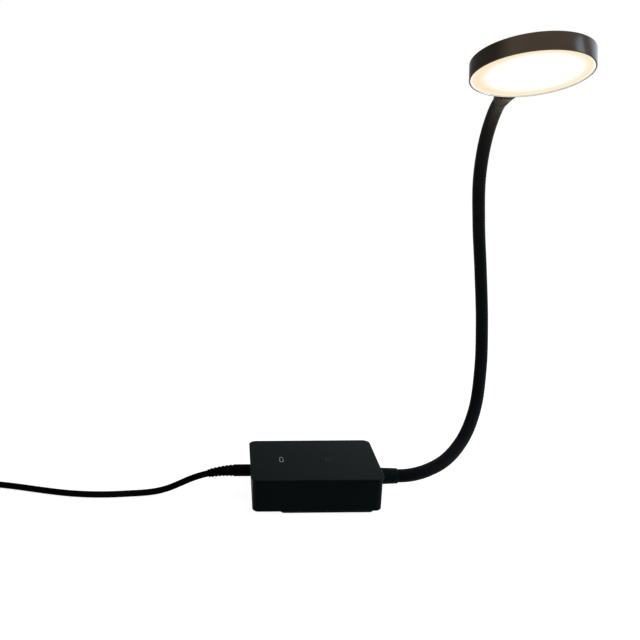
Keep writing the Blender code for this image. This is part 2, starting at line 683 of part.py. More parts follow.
def make_lid(base):
    """The top cover: its plate, locating skirt, screw posts and the openings for button and socket."""
    bm = plate(BASE_WIDTH, BASE_DEPTH, LID_BOTTOM, BASE_HEIGHT, BASE_CORNER)
    bmesh.ops.bevel(
        bm, geom=edges_of_level(bm, BASE_HEIGHT), offset=LID_CHAMFER, segments=1, profile=0.5, affect="EDGES")
    bmesh.ops.bevel(
        bm, geom=edges_of_level(bm, LID_BOTTOM), offset=LID_UNDERCUT, segments=1, profile=0.5, affect="EDGES")
    lid = add_solid("top_cover", bm, "lid_plastic", base)
    root = LID_BOTTOM + LID_THICKNESS / 2
    skirt_inset = WALL + SEAT
    skirt = plate(
        TRAY_WIDTH - 2 * skirt_inset, TRAY_DEPTH - 2 * skirt_inset,
        LID_BOTTOM - SKIRT_DEPTH, root, TRAY_CORNER - skirt_inset)
    combine(lid, "UNION", skirt)
    inside = skirt_inset + SKIRT_THICKNESS
    combine(lid, "DIFFERENCE", plate(
        TRAY_WIDTH - 2 * inside, TRAY_DEPTH - 2 * inside,
        LID_BOTTOM - SKIRT_DEPTH - OVERRUN, LID_BOTTOM, TRAY_CORNER - skirt_inset - SKIRT_THICKNESS / 2))
    posts = bmesh.new()
    for x, y in corners(POST_X, POST_Y):
        rod(posts, POST_RADIUS, (x, y, POST_END), (x, y, root), SMALL_SIDES)
    for x in (CONTROL_POST_LEFT, CONTROL_POST_RIGHT):
        rod(posts, CONTROL_POST_RADIUS, (x, 0, CONTROL_TOP + SEAT), (x, 0, root), SMALL_SIDES)
    combine(lid, "UNION", posts)
    holes = bmesh.new()
    for x, y in corners(POST_X, POST_Y):
        rod(holes, BASE_SCREW_SHANK + SEAT, (x, y, POST_END - OVERRUN), (x, y, POST_END + BASE_SCREW_LENGTH),
            SMALL_SIDES)
    for x in (CONTROL_POST_LEFT, CONTROL_POST_RIGHT):
        rod(holes, BOARD_SCREW_SHANK + SEAT, (x, 0, CONTROL_TOP - OVERRUN), (x, 0, CONTROL_TOP + CONTROL_SCREW_LENGTH),
            SMALL_SIDES)
    low, high = LID_BOTTOM - OVERRUN, BASE_HEIGHT + OVERRUN
    rod(holes, BUTTON_RADIUS + SLIDE, (BUTTON_X, 0, low), (BUTTON_X, 0, high), BUTTON_SIDES)
    join(holes, stadium(SOCKET_LONG + 2 * SEAT, SOCKET_SHORT + 2 * SEAT, low, high))
    combine(lid, "DIFFERENCE", holes)


def stadium(long, short, bottom, top):
    """A block with round ends at the charging socket's place, its long side from front to back."""
    bm = plate(short, long, bottom, top, short * SOCKET_ROUNDING_SHARE, SOCKET_X, SOCKET_CORNER_STEPS)
    return bm


def make_base_fittings(base):
    """Grip pad, ballast plate and the screws of the base."""
    pad = plate(PAD_WIDTH, BASE_DEPTH - 2 * PAD_SETBACK, 0, PAD_THICKNESS, PAD_CORNER, PAD_OFFSET)
    add_solid("grip_pad", pad, "black_rubber", base)
    ballast = add_solid(
        "ballast_plate", plate(BALLAST_WIDTH, BALLAST_DEPTH, BALLAST_BOTTOM, BALLAST_TOP, BALLAST_CORNER),
        "steel", base)
    holes = bmesh.new()
    for x, y in corners(BOARD_BOSS_X, BOARD_BOSS_Y):
        rod(holes, BOARD_BOSS_RADIUS + SEAT, (x, y, BALLAST_BOTTOM - OVERRUN), (x, y, BALLAST_TOP + OVERRUN),
            BOSS_SIDES)
    combine(ballast, "DIFFERENCE", holes)
    for number, (x, y) in enumerate(corners(POST_X, POST_Y), 1):
        screw(
            f"base_screw_{number}", (x, y, SCREW_SEAT), (0, 0, 1),
            BASE_SCREW_HEAD, BASE_SCREW_HEAD_HEIGHT, BASE_SCREW_SHANK, BASE_SCREW_LENGTH, "zinc", base)


def make_power_board(base):
    """The mains board on its bosses, with its transformer and capacitor."""
    bm = bmesh.new()
    half_width, half_depth = BOARD_BOSS_X + BOARD_EDGE, BOARD_BOSS_Y + BOARD_EDGE
    block(bm, (-half_width, -half_depth, POWER_BOARD_BOTTOM), (half_width, half_depth, POWER_BOARD_TOP))
    board = add_solid("power_board", bm, "board_green", base)
    holes = bmesh.new()
    for x, y in board_screw_places():
        rod(holes, BOARD_SCREW_SHANK + SEAT, (x, y, POWER_BOARD_BOTTOM - OVERRUN), (x, y, POWER_BOARD_TOP + OVERRUN),
            SMALL_SIDES)
    combine(board, "DIFFERENCE", holes)
    for number, (x, y) in enumerate(board_screw_places(), 1):
        screw(
            f"power_board_screw_{number}", (x, y, POWER_BOARD_TOP + SEAT), (0, 0, -1),
            BOARD_SCREW_HEAD, BOARD_SCREW_HEAD_HEIGHT, BOARD_SCREW_SHANK, BOARD_SCREW_LENGTH, "zinc", base)
    seat = POWER_BOARD_TOP + SEAT
    coil = bmesh.new()
    half, depth = TRANSFORMER_WIDTH / 2, TRANSFORMER_DEPTH / 2
    rim = TRANSFORMER_CORE_RIM
    block(coil, (TRANSFORMER_X - half, TRANSFORMER_Y - depth + rim, seat),
          (TRANSFORMER_X + half, TRANSFORMER_Y + depth - rim, seat + TRANSFORMER_HEIGHT - rim))
    transformer = add_solid("transformer", coil, "copper_tape", base)
    core = bmesh.new()
    block(core, (TRANSFORMER_X - TRANSFORMER_CORE_WIDTH / 2, TRANSFORMER_Y - depth, seat + rim),
          (TRANSFORMER_X + TRANSFORMER_CORE_WIDTH / 2, TRANSFORMER_Y + depth, seat + TRANSFORMER_HEIGHT))
    combine(transformer, "UNION", core)
    outline = [
        (0, CAPACITOR_HEIGHT), (CAPACITOR_RADIUS - CAPACITOR_EDGE, CAPACITOR_HEIGHT),
        (CAPACITOR_RADIUS, CAPACITOR_HEIGHT - CAPACITOR_EDGE), (CAPACITOR_RADIUS, 0), (0, 0)]
    place = Matrix.Translation((CAPACITOR_X, CAPACITOR_Y, seat))
    add_solid("capacitor", turned(outline, place), "can_sleeve", base)


def make_control_board(base):
    """The board under the lid, its two screws, the charging socket and the switch."""
    bm = bmesh.new()
    block(bm, (CONTROL_POST_LEFT - CONTROL_POST_EDGE, -CONTROL_DEPTH / 2, CONTROL_BOTTOM),
          (CONTROL_POST_RIGHT + CONTROL_POST_EDGE, CONTROL_DEPTH / 2, CONTROL_TOP))
    board = add_solid("control_board", bm, "board_green", base)
    holes = bmesh.new()
    for x in (CONTROL_POST_LEFT, CONTROL_POST_RIGHT):
        rod(holes, BOARD_SCREW_SHANK + SEAT, (x, 0, CONTROL_BOTTOM - OVERRUN), (x, 0, CONTROL_TOP + OVERRUN),
            SMALL_SIDES)
    combine(board, "DIFFERENCE", holes)
    for number, x in enumerate((CONTROL_POST_LEFT, CONTROL_POST_RIGHT), 1):
        screw(
            f"control_board_screw_{number}", (x, 0, CONTROL_BOTTOM - SEAT), (0, 0, 1),
            BOARD_SCREW_HEAD, BOARD_SCREW_HEAD_HEIGHT, BOARD_SCREW_SHANK, CONTROL_SCREW_LENGTH, "zinc", base)
    seat = CONTROL_TOP + SEAT
    mouth = seat + SOCKET_HEIGHT
    shell = add_solid("usb_c_shell", stadium(SOCKET_LONG, SOCKET_SHORT, seat, mouth), "nickel", base)
    combine(shell, "DIFFERENCE", stadium(
        SOCKET_LONG - 2 * SOCKET_SHELL, SOCKET_SHORT - 2 * SOCKET_SHELL, seat + SOCKET_FLOOR, mouth + OVERRUN))
    tongue = bmesh.new()
    block(tongue, (SOCKET_X - TONGUE_THICKNESS / 2, -TONGUE_LONG / 2, seat + SOCKET_FLOOR + SEAT),
          (SOCKET_X + TONGUE_THICKNESS / 2, TONGUE_LONG / 2, mouth - TONGUE_BELOW_MOUTH))
    add_solid("usb_c_tongue", tongue, "black_plastic", base)
    body = bmesh.new()
    half = SWITCH_SIDE / 2
    block(body, (BUTTON_X - half, -half, seat), (BUTTON_X + half, half, seat + SWITCH_BODY_HEIGHT))
    switch = add_solid("button_switch", body, "black_plastic", base)
    plunger = bmesh.new()
    root = seat + SWITCH_BODY_HEIGHT / 2
    rod(plunger, SWITCH_PLUNGER_RADIUS, (BUTTON_X, 0, root), (BUTTON_X, 0, SWITCH_TOP), SMALL_SIDES)
    combine(switch, "UNION", plunger)


def make_button(base):
    """The round cap: flush in the lid, held by its flange, with a stem above the switch."""
    top = BASE_HEIGHT + BUTTON_PROUD
    axis = add_empty("power_button_axis", Matrix.Translation((BUTTON_X, 0, top)), base)
    flange_top = LID_BOTTOM - SEAT
    flange_bottom = flange_top - BUTTON_FLANGE_THICKNESS
    stem_end = SWITCH_TOP + BUTTON_TRAVEL + BUTTON_REST_GAP
    outline = [
        (0, top), (BUTTON_RADIUS - BUTTON_CHAMFER, top), (BUTTON_RADIUS, top - BUTTON_CHAMFER),
        (BUTTON_RADIUS, flange_top), (BUTTON_RADIUS + BUTTON_FLANGE, flange_top),
        (BUTTON_RADIUS + BUTTON_FLANGE, flange_bottom), (BUTTON_STEM_RADIUS, flange_bottom),
        (BUTTON_STEM_RADIUS, stem_end), (0, stem_end)]
    cap = turned(outline, Matrix.Translation((BUTTON_X, 0, 0)), BUTTON_SIDES)
    add_solid("power_button", cap, "lid_plastic", axis)
    print(f"power_button slides down {BUTTON_TRAVEL * 1000:.2f} mm at x {BUTTON_X:.4f}")


def make_collar(base):
    """The neck's foot on the right wall: outer collar, stub through the wall, and the nut inside."""
    place = facing((0, 0, NECK_HEIGHT), (1, 0, 0))
    sleeve_bore, core_bore = NECK_RADIUS + SEAT, CORE_RADIUS + SEAT
    outline = [
        (sleeve_bore + COLLAR_RIM, COLLAR_TIP), (COLLAR_TIP_RADIUS, COLLAR_TIP - COLLAR_ROUNDING),
        (COLLAR_FOOT_RADIUS, COLLAR_FOOT), (COLLAR_STUB_RADIUS, COLLAR_FOOT),
        (COLLAR_STUB_RADIUS, COLLAR_STUB_END), (COLLAR_LEAD_BORE, COLLAR_STUB_END), (COLLAR_LEAD_BORE, CORE_STOP),
        (core_bore, CORE_STOP), (core_bore, SLEEVE_STOP), (sleeve_bore, SLEEVE_STOP), (sleeve_bore, COLLAR_TIP)]
    add_solid("neck_collar", turned(outline, place, ROUND_SIDES, hollow=True), "black_plastic", base)
    bm = bmesh.new()
    rod(bm, COLLAR_NUT_RADIUS, (COLLAR_NUT_INNER, 0, NECK_HEIGHT), (COLLAR_NUT_OUTER, 0, NECK_HEIGHT), NUT_SIDES)
    nut = add_solid("collar_nut", bm, "zinc", base)
    bore = bmesh.new()
    rod(bore, COLLAR_STUB_RADIUS + SEAT, (COLLAR_NUT_INNER - OVERRUN, 0, NECK_HEIGHT),
        (COLLAR_NUT_OUTER + OVERRUN, 0, NECK_HEIGHT))
    combine(nut, "DIFFERENCE", bore)


def head_frame():
    """The head's frame, with its origin where the socket's axis meets the housing's wall."""
    entry = Vector((
        math.cos(HEAD_TILT) * math.cos(HEAD_HEADING), math.cos(HEAD_TILT) * math.sin(HEAD_HEADING),
        math.sin(HEAD_TILT)))
    up = Vector((0, 0, 1))
    up = Matrix.Rotation(HEAD_ROLL, 3, entry) @ (up - entry * up.dot(entry)).normalized()
    turn = Matrix((entry, up.cross(entry), up)).transposed()
    mouth = turn @ socket_axis(1).to_translation()
    return Matrix.Translation(route_point(NECK_ROUTE_SHARES[-1]) - mouth) @ turn.to_4x4()


def socket_axis(share):
    """A section's frame at a share of the socket's length out from the housing, in the head's frame."""
    place = Vector((-HEAD_SOCKET_LENGTH * share, 0, -HEAD_SOCKET_DROP * share ** 2))
    pitch = math.atan2(2 * HEAD_SOCKET_DROP * share, HEAD_SOCKET_LENGTH)
    turn = Matrix.Rotation(-pitch, 4, "Y") @ Matrix(((0, 0, 1, 0), (1, 0, 0, 0), (0, 1, 0, 0), (0, 0, 0, 1)))
    return Matrix.Translation(place) @ turn


def route_point(shares):
    reach, lean, rise = shares
    return Vector((COLLAR_TIP + reach * NECK_REACH, lean * NECK_LEAN, NECK_HEIGHT + rise * NECK_RISE))


def neck_route():
    """The neck's centreline, from the core's seat in the collar to its seat in the head."""
    mouth = head_frame() @ socket_axis(1)
    entry = mouth.col[2].xyz.normalized()
    points = [
        Vector((CORE_START, 0, NECK_HEIGHT)), Vector((COLLAR_TIP, 0, NECK_HEIGHT)),
        Vector((COLLAR_TIP + STRAIGHT_PAST_COLLAR, 0, NECK_HEIGHT))]
    points += [route_point(shares) for shares in NECK_ROUTE_SHARES[:-1]]
    points += [
        along(mouth, distance).to_translation() for distance in (-STRAIGHT_BEFORE_HEAD, 0, HEAD_CORE_DEPTH - SEAT)]
    return Route(smooth_points(points, (1, 0, 0), entry, ROUTE_STEPS), Vector((0, 0, 1)))


def ball_arc():
    """Offsets and radii of the ball, from its shank over the front to its bore."""
    first = math.pi - math.asin(SHANK_RADIUS / BALL_RADIUS)
    last = math.asin(CORE_BORE / BALL_RADIUS)
    angles = [first + (last - first) * step / BALL_STEPS for step in range(BALL_STEPS + 1)]
    return [(BALL_RADIUS * math.cos(angle), BALL_RADIUS * math.sin(angle)) for angle in angles]


def cup_arc():
    """Offsets and radii of the cup, from its bore out to its rim."""
    first = math.asin(CORE_BORE / CUP_RADIUS)
    last = math.acos(CUP_RIM / CUP_RADIUS)
    angles = [first + (last - first) * step / CUP_STEPS for step in range(CUP_STEPS + 1)]
    return [(CUP_RADIUS * math.cos(angle), CUP_RADIUS * math.sin(angle)) for angle in angles]


def setback(radius):
    """How far a tube's end stands back from a joint so that its neighbour can bend."""
    return radius * math.tan(JOINT_BEND / 2) + JOINT_CLEARANCE


def make_neck(base, route):
    """The core and the sleeve in rigid lengths, and an empty on each joint's centre."""
    collar_tip = COLLAR_TIP - CORE_START
    sleeve_start = SLEEVE_STOP + SEAT - CORE_START
    first = collar_tip + FIRST_JOINT_PAST_COLLAR
    mouth = route.length - HEAD_CORE_DEPTH + SEAT
    last = mouth - LAST_JOINT_BEFORE_HEAD
    spots = [first + (last - first) * index / (JOINT_COUNT - 1) for index in range(JOINT_COUNT)]
    joints = [route.place(spot) for spot in spots]
    parents = [base]
    for number, place in enumerate(joints, 1):
        parents.append(add_empty(f"neck_joint_{number}", place, parents[-1]))
        report_joint(number, place)
    sleeve_bore = NECK_RADIUS - SLEEVE_WALL
    sleeve_end = mouth + HEAD_SLEEVE_DEPTH - SEAT
    for number, parent in enumerate(parents):
        begin = joints[number - 1] if number > 0 else None
        end = joints[number] if number < JOINT_COUNT else None
        low = spots[number - 1] if begin else 0
        high = spots[number] if end else route.length
        clear = 2 * SHANK_FULL
        if not begin:
            middle = [collar_tip]
        elif not end:
            middle = [mouth - STRAIGHT_BEFORE_HEAD]
        else:
            step = (high - low - 2 * clear) / (NECK_RINGS - 1)
            middle = [low + clear + step * index for index in range(NECK_RINGS)]
        outer = [(route.place(0), CORE_RADIUS)]
        if begin:
            outer = [(along(begin, CUP_RIM), CORE_RADIUS), (along(begin, SHANK_FULL), CORE_RADIUS)]
        outer += [(route.place(spot), CORE_RADIUS) for spot in middle]
        if end:
            outer += [(along(end, -SHANK_FULL), CORE_RADIUS), (along(end, -SHANK_START), SHANK_RADIUS)]
            outer += [(along(end, offset), radius) for offset, radius in ball_arc()]
            outer.append((along(end, -SHANK_FULL), CORE_BORE))
        else:
            outer += [(route.place(route.length), CORE_RADIUS), (route.place(route.length), CORE_BORE)]
        inner = [(route.place(spot), CORE_BORE) for spot in reversed(middle)]
        if begin:
            inner.append((along(begin, SHANK_FULL), CORE_BORE))
            inner += [(along(begin, offset), radius) for offset, radius in cup_arc()]
        else:
            inner += [(route.place(0), CORE_BORE)]
        add_solid(f"neck_core_{number}", ringed(outer + inner, CORE_SIDES), "steel", parent)
        tube = []
        for radius, spots_here in ((NECK_RADIUS, middle), (sleeve_bore, middle[::-1])):
            rings = [route.place(spot) for spot in middle]
            if begin:
                rings = [along(begin, setback(radius)), along(begin, SHANK_FULL)] + rings
            else:
                rings.insert(0, route.place(sleeve_start))
            if end:
                rings += [along(end, -SHANK_FULL), along(end, -setback(radius))]
            else:
                rings.append(route.place(sleeve_end))
            if spots_here is not middle:
                rings.reverse()
            tube += [(place, radius) for place in rings]
        add_solid(f"neck_sleeve_{number}", ringed(tube, NECK_SIDES), "sleeve_rubber", parent)
    return parents[-1]


def report_joint(number, place):
    """Print a joint's centre and its two possible axes, for the record."""
    centre = place.to_translation()
    side, up = place.col[0].xyz, place.col[1].xyz
    print(f"neck_joint_{number} at", tuple(round(value, 6) for value in centre),
          "x", tuple(round(value, 5) for value in side), "y", tuple(round(value, 5) for value in up),
          "along", tuple(round(value, 5) for value in place.col[2].xyz))


def make_head(joint):
    """The head: housing, diffuser, reflector and LED board, with the neck's socket and its nut."""
    frame = head_frame()
    head = add_empty("head_frame", frame, joint)
    centre = frame @ Matrix.Translation((HEAD_RADIUS, 0, 0))
    outline = [
        (0, HEAD_ABOVE), (HEAD_RADIUS - HEAD_EDGE, HEAD_ABOVE), (HEAD_RADIUS, HEAD_ABOVE - HEAD_EDGE),
        (HEAD_RADIUS, -HEAD_ABOVE), (POCKET_RADIUS, -HEAD_ABOVE), (POCKET_RADIUS, POCKET_TOP),
        (HEAD_INNER_RADIUS, POCKET_TOP), (HEAD_INNER_RADIUS, HEAD_CEILING), (0, HEAD_CEILING)]
    housing = add_solid("head_housing", turned(outline, centre, HEAD_SIDES), "black_metal", head)
    bosses = bmesh.new()
    for y in (-LED_BOSS_Y, LED_BOSS_Y):
        rod(bosses, LED_BOSS_RADIUS, (0, y, HEAD_CEILING + HEAD_TOP / 2), (0, y, LED_BOARD_TOP + SEAT), SMALL_SIDES)
    bmesh.ops.transform(bosses, matrix=centre, verts=bosses.verts[:])
    combine(housing, "UNION", bosses)
    holes = bmesh.new()
    rod(holes, HEAD_SOCKET_STUB + SEAT, (-HEAD_RADIUS - OVERRUN, 0, 0), (-HEAD_INNER_RADIUS + OVERRUN, 0, 0))
    for y in (-LED_BOSS_Y, LED_BOSS_Y):
        rod(holes, LED_SCREW_SHANK + SEAT, (0, y, LED_BOARD_TOP - OVERRUN), (0, y, HEAD_CEILING + SEAT), SMALL_SIDES)
    bmesh.ops.transform(holes, matrix=centre, verts=holes.verts[:])
    combine(housing, "DIFFERENCE", holes)

    lens_radius = POCKET_RADIUS - SEAT
    lens = [(0, LENS_TOP), (lens_radius, LENS_TOP), (lens_radius, LENS_BOTTOM), (0, LENS_BOTTOM)]
    add_solid("diffuser", turned(lens, centre, HEAD_SIDES), "opal", head)
    dish = [
        (REFLECTOR_INNER, REFLECTOR_TOP), (REFLECTOR_OUTER, POCKET_TOP + REFLECTOR_SKIN),
        (REFLECTOR_OUTER, POCKET_TOP), (REFLECTOR_OUTER - REFLECTOR_SKIN, POCKET_TOP),
        (REFLECTOR_INNER - REFLECTOR_SKIN, REFLECTOR_TOP)]
    add_solid("reflector", turned(dish, centre, HEAD_SIDES, hollow=True), "white_plastic", head)
    make_led_board(head, centre)
    make_head_socket(head, frame)


def make_led_board(head, centre):
    """The round LED board with its two rings of LEDs and its two screws."""
    outline = [
        (0, LED_BOARD_TOP), (LED_BOARD_RADIUS, LED_BOARD_TOP), (LED_BOARD_RADIUS, LED_BOARD_BOTTOM),
        (0, LED_BOARD_BOTTOM)]
    board = add_solid("led_board", turned(outline, centre, BUTTON_SIDES), "board_white", head)
    chips = bmesh.new()
    half = LED_SIDE / 2
    for radius, count in ((LED_OUTER_RING, LED_OUTER_COUNT), (LED_INNER_RING, LED_INNER_COUNT)):
        for index in range(count):
            low = (radius - half, -half, LED_BOARD_BOTTOM - LED_HEIGHT)
            verts = block(chips, low, (radius + half, half, LED_BOARD_BOTTOM + LED_HEIGHT / 2))
            turn = Matrix.Rotation(2 * math.pi * index / count, 4, "Z")
            bmesh.ops.transform(chips, matrix=turn, verts=verts)
    bmesh.ops.transform(chips, matrix=centre, verts=chips.verts[:])
    combine(board, "UNION", chips)
    holes = bmesh.new()
    for y in (-LED_BOSS_Y, LED_BOSS_Y):
        rod(holes, LED_SCREW_SHANK + SEAT, (0, y, LED_BOARD_BOTTOM - OVERRUN), (0, y, LED_BOARD_TOP + OVERRUN),
            SMALL_SIDES)
    bmesh.ops.transform(holes, matrix=centre, verts=holes.verts[:])
    combine(board, "DIFFERENCE", holes)
    away = centre.to_3x3() @ Vector((0, 0, 1))
    for number, y in enumerate((-LED_BOSS_Y, LED_BOSS_Y), 1):
        screw(
            f"led_board_screw_{number}", centre @ Vector((0, y, LED_BOARD_BOTTOM - SEAT)), away, LED_SCREW_HEAD,
            LED_SCREW_HEAD_HEIGHT, LED_SCREW_SHANK, LED_SCREW_LENGTH, "zinc", head)


def make_head_socket(head, frame):
    """The flared socket, which takes the neck's end and a stub of which passes the wall, and its nut inside."""
    mouth, wall = socket_axis(1), socket_axis(0)
    high = HEAD_ABOVE - HEAD_SOCKET_INSET
    wide = HEAD_MOUTH_RADIUS + HEAD_SOCKET_SPREAD
    core_bore, sleeve_bore = CORE_RADIUS + SEAT, NECK_RADIUS + SEAT
    stub_end = along(wall, HEAD_SOCKET_STUB_LENGTH)
    sections = [(mouth, HEAD_MOUTH_RADIUS)]
    for share, spread in FLARE_SHARES:
        shape = Matrix.Diagonal((HEAD_MOUTH_RADIUS + HEAD_SOCKET_SPREAD * spread, min(high, HEAD_MOUTH_RADIUS), 1, 1))
        sections.append((socket_axis(share) @ shape, 1))
    sections += [
        (wall @ Matrix.Diagonal((wide, min(high, HEAD_MOUTH_RADIUS), 1, 1)), 1), (wall, HEAD_SOCKET_STUB),
        (stub_end, HEAD_SOCKET_STUB), (stub_end, HEAD_LEAD_BORE), (along(mouth, HEAD_CORE_DEPTH), HEAD_LEAD_BORE),
        (along(mouth, HEAD_CORE_DEPTH), core_bore), (along(mouth, HEAD_SLEEVE_DEPTH), core_bore),
        (along(mouth, HEAD_SLEEVE_DEPTH), sleeve_bore), (mouth, sleeve_bore)]
    bm = ringed(sections, ROUND_SIDES)
    for vert in bm.verts:
        if abs(vert.co.x) < WELD:
            vert.co.x = HEAD_RADIUS - math.sqrt((HEAD_RADIUS + SEAT) ** 2 - vert.co.y ** 2)
    bmesh.ops.transform(bm, matrix=frame, verts=bm.verts[:])
    add_solid("head_socket", bm, "black_metal", head)

    nut_start = HEAD_WALL + SEAT
    nut_end = nut_start + HEAD_NUT_THICKNESS
    bm = bmesh.new()
    rod(bm, HEAD_NUT_RADIUS, (nut_start, 0, 0), (nut_end, 0, 0), NUT_SIDES)
    bmesh.ops.transform(bm, matrix=frame, verts=bm.verts[:])
    nut = add_solid("head_nut", bm, "zinc", head)
    bore = bmesh.new()
    rod(bore, HEAD_SOCKET_STUB + SEAT, (nut_start - OVERRUN, 0, 0), (nut_end + OVERRUN, 0, 0))
    bmesh.ops.transform(bore, matrix=frame, verts=bore.verts[:])
    combine(nut, "DIFFERENCE", bore)


def make_leads(base, head):
    """The leads inside the base, and the end of the neck's lead inside the head."""
    left = RELIEF_FLANGE_THICKNESS + 2 * SEAT - WALL_INSIDE
    rest = POWER_BOARD_TOP + SEAT + LEAD_RADIUS
    mains = [
        (left, 0, RELIEF_HEIGHT), (left + LEAD_STEP, 0, RELIEF_HEIGHT - LEAD_RADIUS / 2),
        (left + 2 * LEAD_STEP, 0, (RELIEF_HEIGHT + rest) / 2), (left + 3 * LEAD_STEP, 0, rest),
        (left + 4 * LEAD_STEP, 0, rest)]
    wire("mains_lead", smooth_points(mains, (1, 0, 0), (1, 0, 0), LEAD_STEPS), LEAD_RADIUS, "black_rubber", base)
    neck = [
        (CORE_STOP - SEAT, 0, NECK_HEIGHT), (COLLAR_STUB_END, 0, NECK_HEIGHT),
        (COLLAR_STUB_END - LEAD_STEP, 0, (NECK_HEIGHT + rest) / 2), (COLLAR_STUB_END - 2 * LEAD_STEP, 0, rest),
        (COLLAR_STUB_END - 3 * LEAD_STEP, 0, rest), (COLLAR_STUB_END - 4 * LEAD_STEP, 0, rest)]
    wire("neck_lead", smooth_points(neck, (-1, 0, 0), (-1, 0, 0), LEAD_STEPS), LEAD_RADIUS, "white_plastic", base)
    frame = head_frame()
    level = LED_BOARD_TOP + SEAT + HEAD_LEAD_RADIUS
    edge = HEAD_RADIUS - LED_BOARD_RADIUS
    stub_end = Vector((HEAD_SOCKET_STUB_LENGTH, 0, 0))
    core_end = along(socket_axis(1), HEAD_CORE_DEPTH).to_translation()
    way = (stub_end - core_end).normalized()
    lead = [
        core_end + way * SEAT, stub_end - way * LEAD_STEP, stub_end, ((stub_end.x + edge) / 2, 0, level / 2),
        (edge, 0, level), (edge + LEAD_STEP, 0, level)]
    lead = [frame @ point for point in smooth_points(lead, way, (1, 0, 0), LEAD_STEPS)]
    wire("head_lead", lead, HEAD_LEAD_RADIUS, "white_plastic", head)


def droop(distance):
    """How far the cord relief hangs down at a distance out from the wall, and how steeply."""
    tail = RELIEF_LENGTH - RELIEF_PLAIN_LENGTH
    share = max(0, distance - RELIEF_PLAIN_LENGTH) / tail
    return RELIEF_DROOP * share ** 2, 2 * RELIEF_DROOP * share / tail


def make_relief(base):
    """The strain relief: flange and neck in the wall, a plain barrel, and a ribbed tail that droops."""
    outline = [(0, RELIEF_LENGTH), (RELIEF_TIP_RADIUS, RELIEF_LENGTH)]
    ribbed = RELIEF_LENGTH - RELIEF_PLAIN_LENGTH
    for index in range(2 * RELIEF_RIBS - 1, 0, -1):
        share = index / (2 * RELIEF_RIBS)
        radius = RELIEF_RADIUS + (RELIEF_TIP_RADIUS - RELIEF_RADIUS) * share
        groove = RELIEF_RIB_DEPTH if index % 2 else 0
        outline.append((radius - groove, RELIEF_PLAIN_LENGTH + ribbed * share))
    inner = -WALL - SEAT
    outline += [
        (RELIEF_RADIUS, RELIEF_PLAIN_LENGTH), (RELIEF_RADIUS, SEAT), (RELIEF_NECK_RADIUS, SEAT),
        (RELIEF_NECK_RADIUS, inner), (RELIEF_FLANGE_RADIUS, inner),
        (RELIEF_FLANGE_RADIUS, inner - RELIEF_FLANGE_THICKNESS), (0, inner - RELIEF_FLANGE_THICKNESS)]
    place = facing((-WALL_OUTSIDE, 0, RELIEF_HEIGHT), (-1, 0, 0))
    bm = turned(outline, place, ROUND_SIDES)
    for vert in bm.verts:
        drop, slope = droop(-WALL_OUTSIDE - vert.co.x)
        vert.co.x -= (vert.co.z - RELIEF_HEIGHT) * slope
        vert.co.z -= drop
    add_solid("cord_relief", bm, "black_rubber", base)


def coil_points():
    """The coil's centreline: it spirals in on the table, climbs a layer, and spirals out again."""
    middle = COIL_TURNS / 2
    count = round(COIL_TURNS * COIL_POINTS_PER_TURN)
    points = []
    for index in range(count + 1):
        turns = COIL_TURNS * index / count
        away = abs(turns - middle)
        half = COIL_CLIMB_TURNS / 2
        inward = middle - away if away > half else middle - (away ** 2 / half + half) / 2
        radius = COIL_RADIUS - COIL_PITCH * inward
        share = min(1, max(0, (turns - middle + half) / COIL_CLIMB_TURNS))
        height = COIL_FLOOR + COIL_PITCH * share ** 2 * (3 - 2 * share)
        angle = math.pi / 2 + 2 * math.pi * turns
        points.append(Vector((COIL_X + radius * math.cos(angle), COIL_Y + radius * math.sin(angle), height)))
    return points


def least_gap(points):
    """The least gap of a coil to itself, between turns that lie at least half a turn apart."""
    apart = COIL_POINTS_PER_TURN // 2
    least = min(
        (points[first] - points[second]).length
        for first in range(len(points)) for second in range(first + apart, len(points)))
    return least - CORD_DIAMETER


def cord_route():
    """The free stretch's own points, from the relief down to the table and out to the coil."""
    table = CORD_RADIUS
    return [
        (RELIEF_TIP - SEAT, 0, RELIEF_HEIGHT - RELIEF_DROOP), (-0.1000, 0.0000, 0.0172), (-0.1085, -0.0002, 0.0141),
        (-0.1180, -0.0006, 0.0098), (-0.1275, -0.0012, 0.0060), (-0.1370, -0.0020, 0.0037),
        (-0.1470, -0.0030, table), (-0.1600, -0.0044, table), (-0.1760, -0.0056, table),
        (-0.1940, -0.0055, table), (-0.2120, -0.0036, table), (-0.2300, 0.0001, table),
        (-0.2480, 0.0047, table), (-0.2660, 0.0094, table), (-0.2840, 0.0130, 0.0030),
        (-0.3000, 0.0150, 0.0036)]


def make_cord(base):
    """Free stretch, coil with its tie, tail, and the mains plug with its pins."""
    coil = coil_points()
    arriving, leaving = Vector((-1, 0, 0)), Vector((0, -1, 0))
    coil = [coil[0] - arriving * CORD_DIAMETER] + coil + [coil[-1] + leaving * CORD_DIAMETER]
    wire("cord_coil", coil, CORD_RADIUS, "black_rubber", base, 1)
    start = (-1, 0, -droop(RELIEF_LENGTH)[1])
    free = smooth_points(cord_route() + [coil[0] - arriving * SEAT], start, arriving, CORD_STEPS)
    wire("cord", free, CORD_RADIUS, "black_rubber", base)
    first = coil[-1] + leaving * SEAT
    last = Vector((PLUG_X, PLUG_Y + SEAT, PLUG_AXIS))
    tail = [
        first, first + leaving * CORD_DIAMETER, (first + last) / 2, last - leaving * CORD_DIAMETER, last]
    tail = smooth_points(tail, leaving, leaving, CORD_STEPS)
    wire("cord_tail", tail, CORD_RADIUS, "black_rubber", base)
    total = length_of(free) + length_of(coil) + length_of(tail)
    print(f"cord {total:.4f} m: free {length_of(free):.4f}, coil {length_of(coil):.4f}, tail {length_of(tail):.4f}")
    print(f"least gap of the coil to itself {least_gap(coil) * 1000:.2f} mm")
    make_tie(base)
    make_plug(base, PLUG_X, PLUG_Y, PLUG_AXIS)


